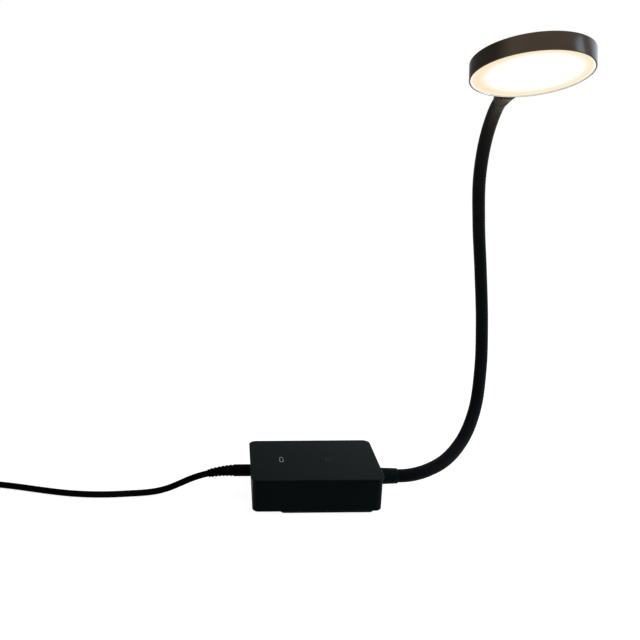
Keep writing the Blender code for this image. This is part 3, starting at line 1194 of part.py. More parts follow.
def make_tie(base):
    """The strap round the coil's section, lying along its turns."""
    inside = COIL_RADIUS - COIL_PITCH * COIL_TURNS / 2 - CORD_RADIUS - TIE_SLACK
    outside = COIL_RADIUS + CORD_RADIUS + TIE_SLACK
    top = COIL_FLOOR + COIL_PITCH + CORD_RADIUS + SEAT
    low = (inside, -TIE_WIDTH / 2, TIE_THICKNESS)
    high = (outside, TIE_WIDTH / 2, top)
    wall = Vector((TIE_THICKNESS, 0, TIE_THICKNESS))
    place = Matrix.Translation((COIL_X, COIL_Y, 0)) @ Matrix.Rotation(TIE_ANGLE, 4, "Z")
    parts = []
    for grow in (wall, Vector((0, OVERRUN, 0))):
        bm = bmesh.new()
        block(bm, Vector(low) - grow, Vector(high) + grow)
        run = [edge for edge in bm.edges if abs(edge.verts[0].co.y - edge.verts[1].co.y) > TIE_WIDTH / 2]
        corner = CORD_RADIUS - (0 if grow is wall else TIE_THICKNESS)
        bmesh.ops.bevel(bm, geom=run, offset=corner, segments=2, profile=0.5, affect="EDGES")
        bmesh.ops.transform(bm, matrix=place, verts=bm.verts[:])
        parts.append(bm)
    tie = add_solid("coil_tie", parts[0], "black_rubber", base)
    combine(tie, "DIFFERENCE", parts[1])


def make_plug(base, x, y, axis):
    """A slim two-pin plug that points to the front, with its tail towards the coil."""
    rear = y - PLUG_TAIL
    face = rear - PLUG_BODY
    bm = bmesh.new()
    half, thick = PLUG_WIDTH / 2, PLUG_THICKNESS / 2
    verts = block(bm, (x - half, face, axis - thick), (x + half, rear, axis + thick))
    for vert in verts:
        if vert.co.y > (rear + face) / 2:
            vert.co.x = x + (vert.co.x - x) * PLUG_REAR_SHARE
    bmesh.ops.bevel(bm, geom=bm.edges[:], offset=PLUG_BEVEL, segments=2, profile=0.5, affect="EDGES")
    plug = add_solid("mains_plug", bm, "black_rubber", base)
    tail = bmesh.new()
    rod(tail, PLUG_TAIL_FOOT, (x, rear - PLUG_BEVEL, axis), (x, y, axis), ROUND_SIDES, PLUG_TAIL_TIP)
    combine(plug, "UNION", tail)
    seats = bmesh.new()
    for side in (-1, 1):
        pin_x = x + side * PIN_SPACING / 2
        rod(seats, PIN_RADIUS + SEAT, (pin_x, face + PIN_SEAT_DEPTH, axis), (pin_x, face - OVERRUN, axis))
    combine(plug, "DIFFERENCE", seats)
    outline = [
        (0, PIN_LENGTH), (PIN_RADIUS - PIN_TIP, PIN_LENGTH), (PIN_RADIUS, PIN_LENGTH - PIN_TIP),
        (PIN_RADIUS, SEAT - PIN_SEAT_DEPTH), (0, SEAT - PIN_SEAT_DEPTH)]
    for number, side in enumerate((-1, 1), 1):
        place = facing((x + side * PIN_SPACING / 2, face, axis), (0, -1, 0))
        add_solid(f"plug_pin_{number}", turned(outline, place, SMALL_SIDES), "nickel", base)


def make_lamp():
    base = add_empty("lamp", Matrix.Identity(4))
    make_tray(base)
    make_lid(base)
    make_base_fittings(base)
    make_power_board(base)
    make_control_board(base)
    make_button(base)
    make_collar(base)
    route = neck_route()
    print(f"neck route {route.length:.4f} m")
    last_joint = make_neck(base, route)
    make_head(last_joint)
    make_leads(base, last_joint)
    make_relief(base)
    make_cord(base)


clear_scene()
PARTS = new_collection("bedside_lamp")
CUTTERS = new_collection("cutters")
make_lamp()
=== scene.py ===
# %% [markdown]
# Bedside lamp on a bendable neck. The base is a flat black box with a touch of weight in it, a
# charging socket and a round power button in its lid. A mains cord leaves it on the left, and on
# the right a rubber-covered gooseneck carries a flat round head with a lit opal face.
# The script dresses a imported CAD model: every solid is already in place, in metres, so each new
# piece is built straight over the solid that it stands for.

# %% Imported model
import json
import math

import bmesh
import bpy
from mathutils import Matrix, Vector

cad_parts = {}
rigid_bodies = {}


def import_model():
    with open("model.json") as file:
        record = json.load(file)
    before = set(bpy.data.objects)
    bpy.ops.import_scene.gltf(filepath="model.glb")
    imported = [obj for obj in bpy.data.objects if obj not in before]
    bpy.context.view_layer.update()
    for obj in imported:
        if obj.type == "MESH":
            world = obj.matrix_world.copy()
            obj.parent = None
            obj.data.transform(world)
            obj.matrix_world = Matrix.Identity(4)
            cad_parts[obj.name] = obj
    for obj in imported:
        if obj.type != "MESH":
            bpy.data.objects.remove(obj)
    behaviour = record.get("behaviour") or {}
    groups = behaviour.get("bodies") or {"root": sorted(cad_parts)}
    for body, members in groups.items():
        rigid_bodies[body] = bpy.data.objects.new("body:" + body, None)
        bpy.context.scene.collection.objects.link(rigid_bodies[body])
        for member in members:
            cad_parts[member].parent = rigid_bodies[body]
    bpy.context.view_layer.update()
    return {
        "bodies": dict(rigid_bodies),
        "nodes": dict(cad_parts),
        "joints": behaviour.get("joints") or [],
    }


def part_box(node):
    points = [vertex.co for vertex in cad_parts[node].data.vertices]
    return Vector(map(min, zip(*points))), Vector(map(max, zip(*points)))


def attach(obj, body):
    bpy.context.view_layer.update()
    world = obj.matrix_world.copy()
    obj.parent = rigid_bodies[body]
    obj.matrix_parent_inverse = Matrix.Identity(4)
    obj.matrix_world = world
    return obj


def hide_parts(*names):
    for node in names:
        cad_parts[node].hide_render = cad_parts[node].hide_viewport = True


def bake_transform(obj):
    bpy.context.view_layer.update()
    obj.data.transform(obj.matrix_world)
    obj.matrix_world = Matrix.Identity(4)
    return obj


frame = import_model()
nodes = frame["nodes"]
scene = bpy.context.scene
scene.view_settings.view_transform = "Standard"

# %% [markdown]
# The camera looks a little down on the lamp from the front left. A camera could be turned by hand
# until it seems right, but here its heading, its pitch and its lens come from fitting the box, the
# neck and the round head together, so that all three agree. The lamp stands right of the frame's
# middle, which a small lens shift gives without turning the camera.

# %% Camera
CAMERA_PLACE = (-0.06827, -0.51539, 0.30522)
CAMERA_HEADING = math.radians(-0.697)
CAMERA_PITCH = math.radians(-16.685)
CAMERA_ROLL = math.radians(-0.117)

camera_data = bpy.data.cameras.new("camera")
camera_data.sensor_width = 36
camera_data.lens = 36.874
camera_data.shift_x, camera_data.shift_y = 0.12155, 0.01536
camera = bpy.data.objects.new("camera", camera_data)
camera.matrix_world = (
    Matrix.Translation(CAMERA_PLACE)
    @ Matrix.Rotation(CAMERA_HEADING, 4, "Z")
    @ Matrix.Rotation(math.pi / 2 + CAMERA_PITCH, 4, "X")
    @ Matrix.Rotation(CAMERA_ROLL, 4, "Z"))
scene.collection.objects.link(camera)
scene.camera = camera
print("camera's view, in degrees across:", round(math.degrees(camera_data.angle), 1))

# %% [markdown]
# A material is a net of nodes. Making each net by hand-written links soon fills a screen, so a few
# small helpers keep it readable: one adds a node, one fills a node's inputs, and one opens a new
# material with its Principled shader. An input that is given a socket is linked to it, and any
# other value is simply set.

# %% Node helpers
def feed(tree, node, **inputs):
    """Fills a node's inputs, named as its sockets are, with _ for a space, or numbered n0, n1."""
    for key, value in inputs.items():
        numbered = key[0] == "n" and key[1:].isdigit()
        socket = node.inputs[int(key[1:]) if numbered else key.replace("_", " ")]
        if isinstance(value, bpy.types.NodeSocket):
            tree.links.new(value, socket)
        else:
            socket.default_value = value
    return node


def add_node(tree, kind, settings=None, **inputs):
    node = tree.nodes.new("ShaderNode" + kind)
    for key, value in (settings or {}).items():
        setattr(node, key, value)
    return feed(tree, node, **inputs)


def maths(tree, operation, *values):
    numbered = {f"n{index}": value for index, value in enumerate(values)}
    return add_node(tree, "Math", {"operation": operation}, **numbered).outputs[0]


def ramp(tree, value, low, high, start=0.0, end=1.0):
    """The value's stretch from low to high, smoothly turned into one from start to end."""
    return add_node(
        tree, "MapRange", {"interpolation_type": "SMOOTHSTEP"},
        n0=value, n1=low, n2=high, n3=start, n4=end).outputs[0]


def mixed(tree, share, first, second):
    """Two colours mixed; a share of 0 gives the first."""
    first, second = (
        colour if isinstance(colour, bpy.types.NodeSocket) else (*colour, 1) for colour in (first, second))
    return add_node(tree, "Mix", {"data_type": "RGBA"}, n0=share, n6=first, n7=second).outputs[2]


def noise(tree, place, scale, detail=2.0, roughness=0.5):
    """The grey value of a noise pattern, from 0 to 1."""
    return add_node(
        tree, "TexNoise", Vector=place, Scale=scale, Detail=detail, Roughness=roughness).outputs["Fac"]


def new_material(name):
    """An empty material, its node tree and its Principled shader, already joined to the output."""
    material = bpy.data.materials.new(name)
    material.use_nodes = True
    tree = material.node_tree
    return material, tree, tree.nodes["Principled BSDF"]


def own_place(tree):
    """Object coordinates: a point's place on the piece, in metres."""
    return add_node(tree, "TexCoord").outputs["Object"]


def emboss(tree, shader, height, depth):
    """Gives the shader a bump of a depth in metres."""
    feed(tree, shader, Normal=add_node(tree, "Bump", Distance=depth, Height=height).outputs["Normal"])


# %% [markdown]
# The setting is a plain white room. A white floor could be lit until it clips, but then the lamp
# would be overlit too. Instead the floor is an ordinary pale surface, to which camera rays and
# reflections add a plain glow: it reads as white, and the lamp's own shadow still shows on it.
# The world does the same above the horizon and gives the lamp itself only a dim, even fill. What
# the lamp mirrors of it is darker at the back left, as in a room with its windows on the right.

# %% Floor and world
FILL, FLOOR_GLOW = 0.065, 0.945
MIRRORED_DARK, MIRRORED_BRIGHT = 0.37, 1.12
FLOOR_HALF = 6


def seen_rays(tree):
    """One where a ray comes from the camera, a reflection or a clear material, and zero elsewhere."""
    path = add_node(tree, "LightPath").outputs
    seen = maths(tree, "MAXIMUM", path["Is Camera Ray"], path["Is Glossy Ray"])
    return maths(tree, "MAXIMUM", seen, path["Is Transmission Ray"])


world = bpy.data.worlds.new("white room")
world.use_nodes = True
scene.world = world
tree = world.node_tree
way = add_node(tree, "SeparateXYZ", Vector=add_node(tree, "TexCoord").outputs["Generated"]).outputs
to_right = maths(tree, "SUBTRACT", way["X"], way["Y"])
room = ramp(tree, to_right, -1.1, -0.4, MIRRORED_DARK, MIRRORED_BRIGHT)
mirrored = add_node(tree, "LightPath").outputs["Is Glossy Ray"]
room = add_node(tree, "MapRange", n0=mirrored, n3=1.0, n4=room).outputs[0]
strength = add_node(tree, "MapRange", n0=seen_rays(tree), n3=FILL, n4=room).outputs[0]
feed(tree, tree.nodes["Background"], Color=(1, 1, 1, 1), Strength=strength)

floor_material, tree, shader = new_material("white floor")
feed(
    tree, shader, Base_Color=(0.82, 0.82, 0.82, 1), Roughness=0.9, Specular_IOR_Level=0,
    Emission_Color=(1, 1, 1, 1), Emission_Strength=maths(tree, "MULTIPLY", seen_rays(tree), FLOOR_GLOW))

bm = bmesh.new()
below = Matrix.Translation((0, 0, -0.0004))
bmesh.ops.create_grid(bm, x_segments=1, y_segments=1, size=FLOOR_HALF, matrix=below)
floor_mesh = bpy.data.meshes.new("floor")
bm.to_mesh(floor_mesh)
bm.free()
floor = bpy.data.objects.new("floor", floor_mesh)
floor.data.materials.append(floor_material)
scene.collection.objects.link(floor)
print(f"floor: {2 * FLOOR_HALF} m wide, fill light {FILL}")

# %% [markdown]
# The lamp is nearly black, so its form shows almost only in what it mirrors. A large soft box
# overhead lights the lid. Two tall blue panels on the right are seen only in reflections: with the
# gap between them they draw the pair of pale streaks down the right end of the metal head. The
# light that falls on the box and the neck from that side is a plain window's, which isn't mirrored.

# %% Lights
LAMP_MIDDLE = Vector((0.06, 0.0, 0.15))


def soft_box(name, heading, rise, away, width, height, power, colour, lights=True, mirrored=True):
    """An area light that looks at the lamp. Heading 0 is behind the lamp and 90 to its right."""
    turn, lift = math.radians(heading), math.radians(rise)
    way = Vector((math.sin(turn) * math.cos(lift), math.cos(turn) * math.cos(lift), math.sin(lift)))
    data = bpy.data.lights.new(name, "AREA")
    data.shape, data.size, data.size_y = "RECTANGLE", width, height
    data.energy, data.color = power, colour
    lamp = bpy.data.objects.new(name, data)
    turned_away = way.to_track_quat("Z", "Y").to_matrix().to_4x4()
    lamp.matrix_world = Matrix.Translation(LAMP_MIDDLE + way * away) @ turned_away
    lamp.visible_camera, lamp.visible_diffuse, lamp.visible_glossy = False, lights, mirrored
    scene.collection.objects.link(lamp)
    print(f"{name}: {power} W, {away} m away")


soft_box("overhead", 60, 72, 1.6, 1.3, 1.3, 2.6, (1.0, 0.985, 0.96))
soft_box("right_front_panel", 107, 10, 1.7, 0.48, 1.5, 11, (0.35, 0.60, 1.0), lights=False)
soft_box("right_back_panel", 61, 10, 1.7, 0.85, 1.5, 6, (0.43, 0.70, 1.0), lights=False)
soft_box("right_window", 98, 10, 1.7, 0.85, 1.5, 9, (0.90, 0.96, 1.0), mirrored=False)

# %% [markdown]
# The opal face really shines on the neck, the lid and the table. Making the face itself that
# bright would burn out its soft warm rim in the picture, so a disc of light just under it does
# the lighting. A second, small one beside the neck stands for the glow that its top gets from the
# face so close by. Both are tied to the head, and go where it goes.

# %% Head's frame and its light
COLLAR_TIP, NECK_HEIGHT = 0.0742, 0.0155
NECK_REACH, NECK_LEAN, NECK_RISE = 0.1004, 0.1124, 0.3213
NECK_SHARES = (
    (0.385, 0.105, 0.010), (0.673, 0.322, 0.045), (0.862, 0.540, 0.109), (0.966, 0.737, 0.212),
    (1.000, 0.891, 0.345), (0.976, 0.983, 0.495), (0.914, 0.996, 0.645), (0.845, 0.916, 0.784),
    (0.807, 0.730, 0.914), (0.794, 0.512, 0.983))
HEAD_TILT, HEAD_HEADING, HEAD_ROLL = math.radians(17.8), math.radians(-92.8), math.radians(-0.8)
HEAD_SOCKET_LENGTH, HEAD_SOCKET_DROP = 0.018, 0.0018
HEAD_RADIUS = 0.0432
HEAD_HALF = 0.0065


def neck_point(shares):
    """A point of the neck's line, from its shares of the whole reach, lean and rise."""
    reach, lean, rise = shares
    return Vector((COLLAR_TIP + reach * NECK_REACH, lean * NECK_LEAN, NECK_HEIGHT + rise * NECK_RISE))


entry = Matrix.Rotation(HEAD_HEADING, 3, "Z") @ Vector((math.cos(HEAD_TILT), 0, math.sin(HEAD_TILT)))
up = Vector((0, 0, 1))
up = Matrix.Rotation(HEAD_ROLL, 3, entry) @ (up - entry * up.dot(entry)).normalized()
turn = Matrix((entry, up.cross(entry), up)).transposed()
corner = neck_point(NECK_SHARES[-1]) - turn @ Vector((-HEAD_SOCKET_LENGTH, 0, -HEAD_SOCKET_DROP))
HEAD_FRAME = Matrix.Translation(corner) @ turn.to_4x4()
HEAD_PLACE = HEAD_FRAME @ Matrix.Translation((HEAD_RADIUS, 0, 0))


def head_light(name, place, across, power, colour, mirrored):
    """A disc of light that isn't seen itself, tied to the head. It shines along its own minus z."""
    data = bpy.data.lights.new(name, "AREA")
    data.shape, data.size = "DISK", across
    data.energy, data.color = power, colour
    lamp = bpy.data.objects.new(name, data)
    lamp.visible_camera = lamp.visible_transmission = False
    lamp.visible_glossy = mirrored
    lamp.matrix_world = place
    scene.collection.objects.link(lamp)
    lamp.parent = frame["bodies"]["lamp_head"]
    print(f"{name}: {power} W, {1000 * across:.0f} mm across")


under_face = HEAD_PLACE @ Matrix.Translation((0, 0, -HEAD_HALF - 0.0008))
head_light("face_light", under_face, 0.078, 0.13, (1.0, 0.83, 0.62), False)
beside_neck = HEAD_FRAME @ Matrix.Translation((-0.005, 0, -0.015)) @ Matrix.Rotation(math.radians(90), 4, "Y")
head_light("rim_light", beside_neck, 0.017, 0.070, (1.0, 0.62, 0.36), True)

# %% [markdown]
# Moulded plastic, rubber and paint are never quite even. Three effects come back in most of this
# lamp's finishes, so they are built once, as two node groups. One gives the grain, the fine pitted
# skin of a moulding, as a height, and the patches, which are slow drifts of tone. The other is the
# edge wear: it finds corners by comparing the true normal with a rounded one, and breaks the
# result up with noise.

# %% Shared effects
def new_group(name, inputs, outputs):
    """A shader node group with float or vector inputs, and its input and output nodes."""
    group = bpy.data.node_groups.new(name, "ShaderNodeTree")
    for label, kind, value in inputs:
        socket = group.interface.new_socket(label, in_out="INPUT", socket_type="NodeSocket" + kind)
        if kind == "Float":
            socket.default_value = value
    for label in outputs:
        group.interface.new_socket(label, in_out="OUTPUT", socket_type="NodeSocketFloat")
    return group, group.nodes.new("NodeGroupInput"), group.nodes.new("NodeGroupOutput")


def make_grain():
    group, given, result = new_group(
        "moulded grain", (("Vector", "Vector", None), ("Grain Size", "Float", 0.0004)), ("Height", "Patches"))
    place, scale = given.outputs["Vector"], maths(group, "DIVIDE", 1.0, given.outputs["Grain Size"])
    cells = add_node(group, "TexVoronoi", {"feature": "SMOOTH_F1"}, Vector=place, Scale=scale, Smoothness=0.6)
    cells = maths(group, "MULTIPLY", cells.outputs["Distance"], 0.5)
    height = maths(group, "ADD", noise(group, place, scale, 2.0, 0.6), cells)
    feed(group, result, Height=height, Patches=ramp(group, noise(group, place, 55.0, 4.0, 0.55), 0.3, 0.7))
    return group


def make_edge_wear():
    group, given, result = new_group(
        "edge wear", (("Vector", "Vector", None), ("Width", "Float", 0.0008)), ("Mask",))
    rounded = add_node(group, "Bevel", {"samples": 4}, Radius=given.outputs["Width"]).outputs[0]
    true = add_node(group, "NewGeometry").outputs["Normal"]
    both = add_node(group, "VectorMath", {"operation": "DOT_PRODUCT"}, n0=rounded, n1=true).outputs["Value"]
    rubbed = ramp(group, noise(group, given.outputs["Vector"], 420.0, 5.0, 0.7), 0.38, 0.66, 0.25, 1.0)
    feed(group, result, Mask=maths(group, "MULTIPLY", ramp(group, both, 0.995, 0.86), rubbed))
    return group


GRAIN, EDGE_WEAR = make_grain(), make_edge_wear()
for group in (GRAIN, EDGE_WEAR):
    print(f"{group.name}: {len(group.nodes)} nodes")


def use_group(tree, group, **inputs):
    return add_node(tree, "Group", {"node_tree": group}, **inputs).outputs


# %% [markdown]
# Most of the lamp's surfaces are one recipe with other numbers: a colour that drifts towards a
# second one, a roughness that drifts with it, a fine bump, and a little wear. Writing the
# recipe once as a function keeps the finishes alike where the real ones are, and each call below
# says only what is special about its own finish.

# %% Finishes: the common recipe
WORN_SHINE = 0.12


def finish(
        name, colour, drift, roughness, grain=0.0004, bump=0.00001, metal=0.0, gloss=0.5, wear=0.0,
        worn=None, wear_width=0.0008, roughness_drift=0.06, rim_tint=1.0):
    """A Principled material with grain, patches and edge wear."""
    material, tree, shader = new_material(name)
    place = own_place(tree)
    effect = use_group(tree, GRAIN, Vector=place, Grain_Size=grain)
    base = mixed(tree, effect["Patches"], colour, drift)
    lowest = roughness - roughness_drift / 2
    rough = maths(tree, "MULTIPLY_ADD", effect["Patches"], roughness_drift, lowest)
    if wear:
        mask = use_group(tree, EDGE_WEAR, Vector=place, Width=wear_width)["Mask"]
        mask = maths(tree, "MULTIPLY", mask, wear)
        base = mixed(tree, mask, base, worn or [min(1, 2.5 * part + 0.01) for part in colour])
        rough = maths(tree, "SUBTRACT", rough, maths(tree, "MULTIPLY", mask, WORN_SHINE))
    feed(
        tree, shader, Base_Color=base, Roughness=rough, Metallic=metal, Specular_IOR_Level=gloss,
        Specular_Tint=(rim_tint, rim_tint, rim_tint, 1))
    emboss(tree, shader, effect["Height"], bump)
    print("finish:", name)
    return material


# %% [markdown]
# The outside is four blacks. The box is matt moulded plastic, the neck and the cord are rubber,
# which mirrors less, and the head is painted metal, which mirrors most and carries a faint warm
# tone. Its funnel is a duller casting, and the inner edge of its lip is bare. A pure zero black
# would look like a hole under any light, so even the darkest keeps a trace.

# %% Finishes: outside
LID = finish(
    "moulded lid", (0.0054, 0.0122, 0.0150), (0.0061, 0.0131, 0.0160), 0.25, grain=0.00035, bump=0.000006,
    gloss=0.025, wear=0.1, worn=(0.030, 0.032, 0.035), wear_width=0.0005, roughness_drift=0.015)
BOX = finish(
    "moulded box", (0.0098, 0.0154, 0.0174), (0.0109, 0.0168, 0.0188), 0.5, grain=0.00035, bump=0.000012,
    gloss=0.015, wear=0.25, worn=(0.03, 0.031, 0.033))
MARK = finish(
    "printed mark", (0.045, 0.055, 0.060), (0.050, 0.060, 0.065), 0.4, bump=0.000004, gloss=0.05)
PAD_RUBBER = finish(
    "pad rubber", (0.006, 0.006, 0.007), (0.009, 0.009, 0.010), 0.75, grain=0.0009, bump=0.00004, gloss=0.1)
COLLAR_PLASTIC = finish(
    "collar plastic", (0.0080, 0.0128, 0.0166), (0.0094, 0.0145, 0.0186), 0.5, gloss=0.02, wear=0.3,
    worn=(0.015, 0.016, 0.018), wear_width=0.0005)
SLEEVE_RUBBER = finish(
    "sleeve rubber", (0.0043, 0.0060, 0.0073), (0.0050, 0.0068, 0.0082), 0.42, grain=0.0005,
    bump=0.000002, gloss=0.022)
CORD_RUBBER = finish(
    "cord rubber", (0.0022, 0.0028, 0.0028), (0.0034, 0.0040, 0.0040), 0.5, grain=0.0005,
    bump=0.000006, gloss=0.012)
HEAD_METAL = finish(
    "painted metal", (0.050, 0.039, 0.028), (0.055, 0.043, 0.031), 0.19, grain=0.0003, bump=0.000003,
    metal=1.0, wear=0.25, worn=(0.10, 0.09, 0.08), wear_width=0.0004, roughness_drift=0.04, rim_tint=0.7)
FUNNEL_METAL = finish(
    "cast funnel", (0.028, 0.028, 0.027), (0.032, 0.032, 0.030), 0.4, bump=0.000002, metal=1.0, rim_tint=0.5)
BARE_METAL = finish(
    "bare lip", (0.80, 0.76, 0.70), (0.86, 0.82, 0.76), 0.3, bump=0.000003, metal=1.0)

# %% [markdown]
# The opal face is a cloudy acrylic disc, lit from behind. Its middle is plain white and its outer
# band turns a warm cream, because the LEDs stop short of the rim. A picture of that ring isn't
# needed: a distance across the disc, in Object coordinates, drives one ramp for the colour. Mapping
# first moves the centre of the pattern to the middle of the disc and lays it flat. The LEDs sit
# behind the face, so from the front their glow seems a little off centre, and it is measured from
# there. The disc's own edge, measured from its middle, catches the light in a thin pale line.

# %% Finish: lit opal face
GLOW_MIDDLE = (0.0017, 0.0011, 0)
WHITE, CREAM, PALE_RIM = (1.0, 1.0, 1.0), (0.89, 0.71, 0.47), (1.0, 0.97, 0.90)


def make_opal():
    material, tree, shader = new_material("lit opal")
    place = own_place(tree)
    disc = add_node(
        tree, "Mapping", {"vector_type": "TEXTURE"}, Vector=place, Location=HEAD_PLACE.to_translation(),
        Rotation=HEAD_PLACE.to_euler())
    across = add_node(tree, "SeparateXYZ", Vector=disc.outputs[0]).outputs
    flat = add_node(tree, "CombineXYZ", X=across["X"], Y=across["Y"]).outputs[0]
    from_glow = add_node(tree, "VectorMath", {"operation": "DISTANCE"}, n0=flat, n1=GLOW_MIDDLE)
    away = add_node(tree, "VectorMath", {"operation": "LENGTH"}, n0=flat)
    glow = mixed(tree, ramp(tree, from_glow.outputs["Value"], 0.029, 0.0385), WHITE, CREAM)
    glow = mixed(tree, ramp(tree, away.outputs["Value"], 0.0407, 0.0412), glow, PALE_RIM)
    cloud = ramp(tree, noise(tree, place, 900.0), 0.4, 0.6)
    feed(
        tree, shader, Base_Color=mixed(tree, cloud, (0.42, 0.41, 0.39), (0.46, 0.45, 0.43)),
        Emission_Color=glow, Emission_Strength=1.0, Specular_IOR_Level=0.05, Roughness=0.4)
    return material


OPAL = make_opal()
print("opal face: glow's middle is", [round(1000 * part, 1) for part in GLOW_MIDDLE], "mm off centre")

# %% [markdown]
# Next come the mesh helpers. Each starts a bmesh from a ready shape or from one outline, and lets
# an operator do the rest: a rounded box is a cube whose upright edges are bevelled, a turned piece
# is an outline spun once round, and a tube is one circle that is extruded again and again, each
# time moved to the next place along its line.

# %% Mesh helpers
NEAR_AXIS = 0.00001


def set_down(name, bm, finish_used, body, replaced=(), sharp=35):
    """Turns a bmesh into a smooth-shaded piece at the origin, which rides on a body."""
    mesh = bpy.data.meshes.new(name)
    bm.to_mesh(mesh)
    bm.free()
    mesh.shade_smooth()
    mesh.set_sharp_from_angle(angle=math.radians(sharp))
    piece = bpy.data.objects.new(name, mesh)
    piece.data.materials.append(finish_used)
    scene.collection.objects.link(piece)
    if replaced:
        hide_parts(*replaced)
    if body:
        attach(piece, body)
    print(f"{name}: {len(mesh.polygons)} faces")
    return piece


def add_block(bm, low, high):
    """A plain block between two corners."""
    low, high = Vector(low), Vector(high)
    verts = bmesh.ops.create_cube(bm, size=1)["verts"]
    bmesh.ops.scale(bm, vec=high - low, verts=verts)
    bmesh.ops.translate(bm, vec=(high + low) / 2, verts=verts)


def round_off(bm, edges, offset, steps):
    bmesh.ops.bevel(
        bm, geom=edges, offset=offset, segments=steps, profile=0.5, affect="EDGES", material=-1)


def rounded_box(low, high, corner, steps):
    """A box whose upright corners are rounded."""
    bm = bmesh.new()
    add_block(bm, low, high)
    round_off(bm, [e for e in bm.edges if abs(e.verts[0].co.z - e.verts[1].co.z) > 1e-6], corner, steps)
    return bm


def slab(half, low, high, corner, steps):
    """A rounded box over the base's middle, from one height to another."""
    return rounded_box((-half[0], -half[1], low), (*half, high), corner, steps)


def round_edges_at(bm, height, offset, steps):
    """Rounds the closed outline of a flat face at a height."""
    round_off(bm, [e for e in bm.edges if all(abs(v.co.z - height) < 1e-6 for v in e.verts)], offset, steps)


def turned(outline, place, steps=96):
    """Spins an outline of radius and height once round its axis, and puts it in its place."""
    bm = bmesh.new()
    verts = [bm.verts.new((radius, 0, height)) for radius, height in outline]
    for before, after in zip(verts, verts[1:]):
        bm.edges.new((before, after))
    bmesh.ops.spin(
        bm, geom=bm.verts[:] + bm.edges[:], cent=(0, 0, 0), axis=(0, 0, 1), angle=2 * math.pi,
        steps=steps, use_merge=True)
    bmesh.ops.remove_doubles(bm, verts=bm.verts[:], dist=1e-7)
    bmesh.ops.recalc_face_normals(bm, faces=bm.faces[:])
    bmesh.ops.transform(bm, matrix=place, verts=bm.verts[:])
    return bm


def rod(radius, low, high, place, steps=48):
    """A plain round rod, which here cuts a hole."""
    return turned([(NEAR_AXIS, low), (radius, low), (radius, high), (NEAR_AXIS, high)], place, steps)


def swept(sections, sides):
    """A skin from one round section to the next. A section is a frame with its two half widths."""
    bm = bmesh.new()
    shapes = [place @ Matrix.Diagonal((wide, high, 1, 1)) for place, wide, high in sections]
    bmesh.ops.create_circle(bm, segments=sides, radius=1, matrix=shapes[0])
    first = rim = bm.edges[:]
    for before, after in zip(shapes, shapes[1:]):
        grown = bmesh.ops.extrude_edge_only(bm, edges=rim)["geom"]
        verts = {part for part in grown if isinstance(part, bmesh.types.BMVert)}
        rim = [
            part for part in grown
            if isinstance(part, bmesh.types.BMEdge) and part.verts[0] in verts and part.verts[1] in verts]
        bmesh.ops.transform(bm, matrix=after @ before.inverted(), verts=list(verts))
    return bm, first, rim


def joined_ends(sections, sides):
    """A swept skin whose last section runs back to its first, as the wall of a tube does."""
    bm, first, last = swept(sections, sides)
    bmesh.ops.bridge_loops(bm, edges=first + last)
    bmesh.ops.recalc_face_normals(bm, faces=bm.faces[:])
    return bm


def facing(point, way):
    """A frame at a point whose z runs along the given way."""
    return Matrix.Translation(point) @ Vector(way).to_track_quat("Z", "Y").to_matrix().to_4x4()


def cut(piece, *cutters):
    """Takes the cutters' volumes out of a piece for good."""
    for bm in cutters:
        mesh = bpy.data.meshes.new("cutter")
        bm.to_mesh(mesh)
        bm.free()
        cutter = bpy.data.objects.new("cutter", mesh)
        scene.collection.objects.link(cutter)
        modifier = piece.modifiers.new("cut", "BOOLEAN")
        modifier.operation, modifier.solver, modifier.object = "DIFFERENCE", "EXACT", cutter
        apply_modifiers(piece)
        bpy.data.objects.remove(cutter)


def apply_modifiers(piece):
    """Makes the piece's modifiers part of its mesh."""
    bpy.context.view_layer.update()
    made = bpy.data.meshes.new_from_object(piece.evaluated_get(bpy.context.evaluated_depsgraph_get()))
    piece.modifiers.clear()
    piece.data = made


def soften(piece, width, angle=35):
    """Rounds the sharp edges of a finished piece a little, and evens its shading."""
    bevel = piece.modifiers.new("soft edges", "BEVEL")
    bevel.width, bevel.segments = width, 2
    bevel.limit_method, bevel.angle_limit = "ANGLE", math.radians(angle)
    bevel.use_clamp_overlap = True
    piece.modifiers.new("even shading", "WEIGHTED_NORMAL").keep_sharp = True
    apply_modifiers(piece)


def smooth_points(points, first_way, last_way, steps):
    """Points of one smooth curve through the given points, which leaves and arrives along two ways."""
    points = [Vector(point) for point in points]
    spans = [(after - before).length for before, after in zip(points, points[1:])]
    ways = [Vector(first_way).normalized()]
    for index in range(1, len(points) - 1):
        before, after = spans[index - 1], spans[index]
        arriving = (points[index] - points[index - 1]) / before
        leaving = (points[index + 1] - points[index]) / after
        ways.append((arriving * after + leaving * before) / (before + after))
    ways.append(Vector(last_way).normalized())
    smooth = [points[0]]
    for index, span in enumerate(spans):
        for step in range(1, steps + 1):
            t = step / steps
            smooth.append(
                points[index] * (2 * t ** 3 - 3 * t ** 2 + 1)
                + ways[index] * span * (t ** 3 - 2 * t ** 2 + t)
                + points[index + 1] * (3 * t ** 2 - 2 * t ** 3)
                + ways[index + 1] * span * (t ** 3 - t ** 2))
    return smooth


# %% [markdown]
# The mains cord is a round black rubber lead, 5.6 mm thick and about 1.8 m long. It droops from
# its relief to the table, runs off to the left, and the rest is wound into a flat two-layer coil
# beside its plug. A mesh tube would do, but a curve with a round bevel keeps one true centreline,
# from which the length can be measured. The coil spirals in on the table, climbs one layer and
# spirals out again, so no turn passes through another.

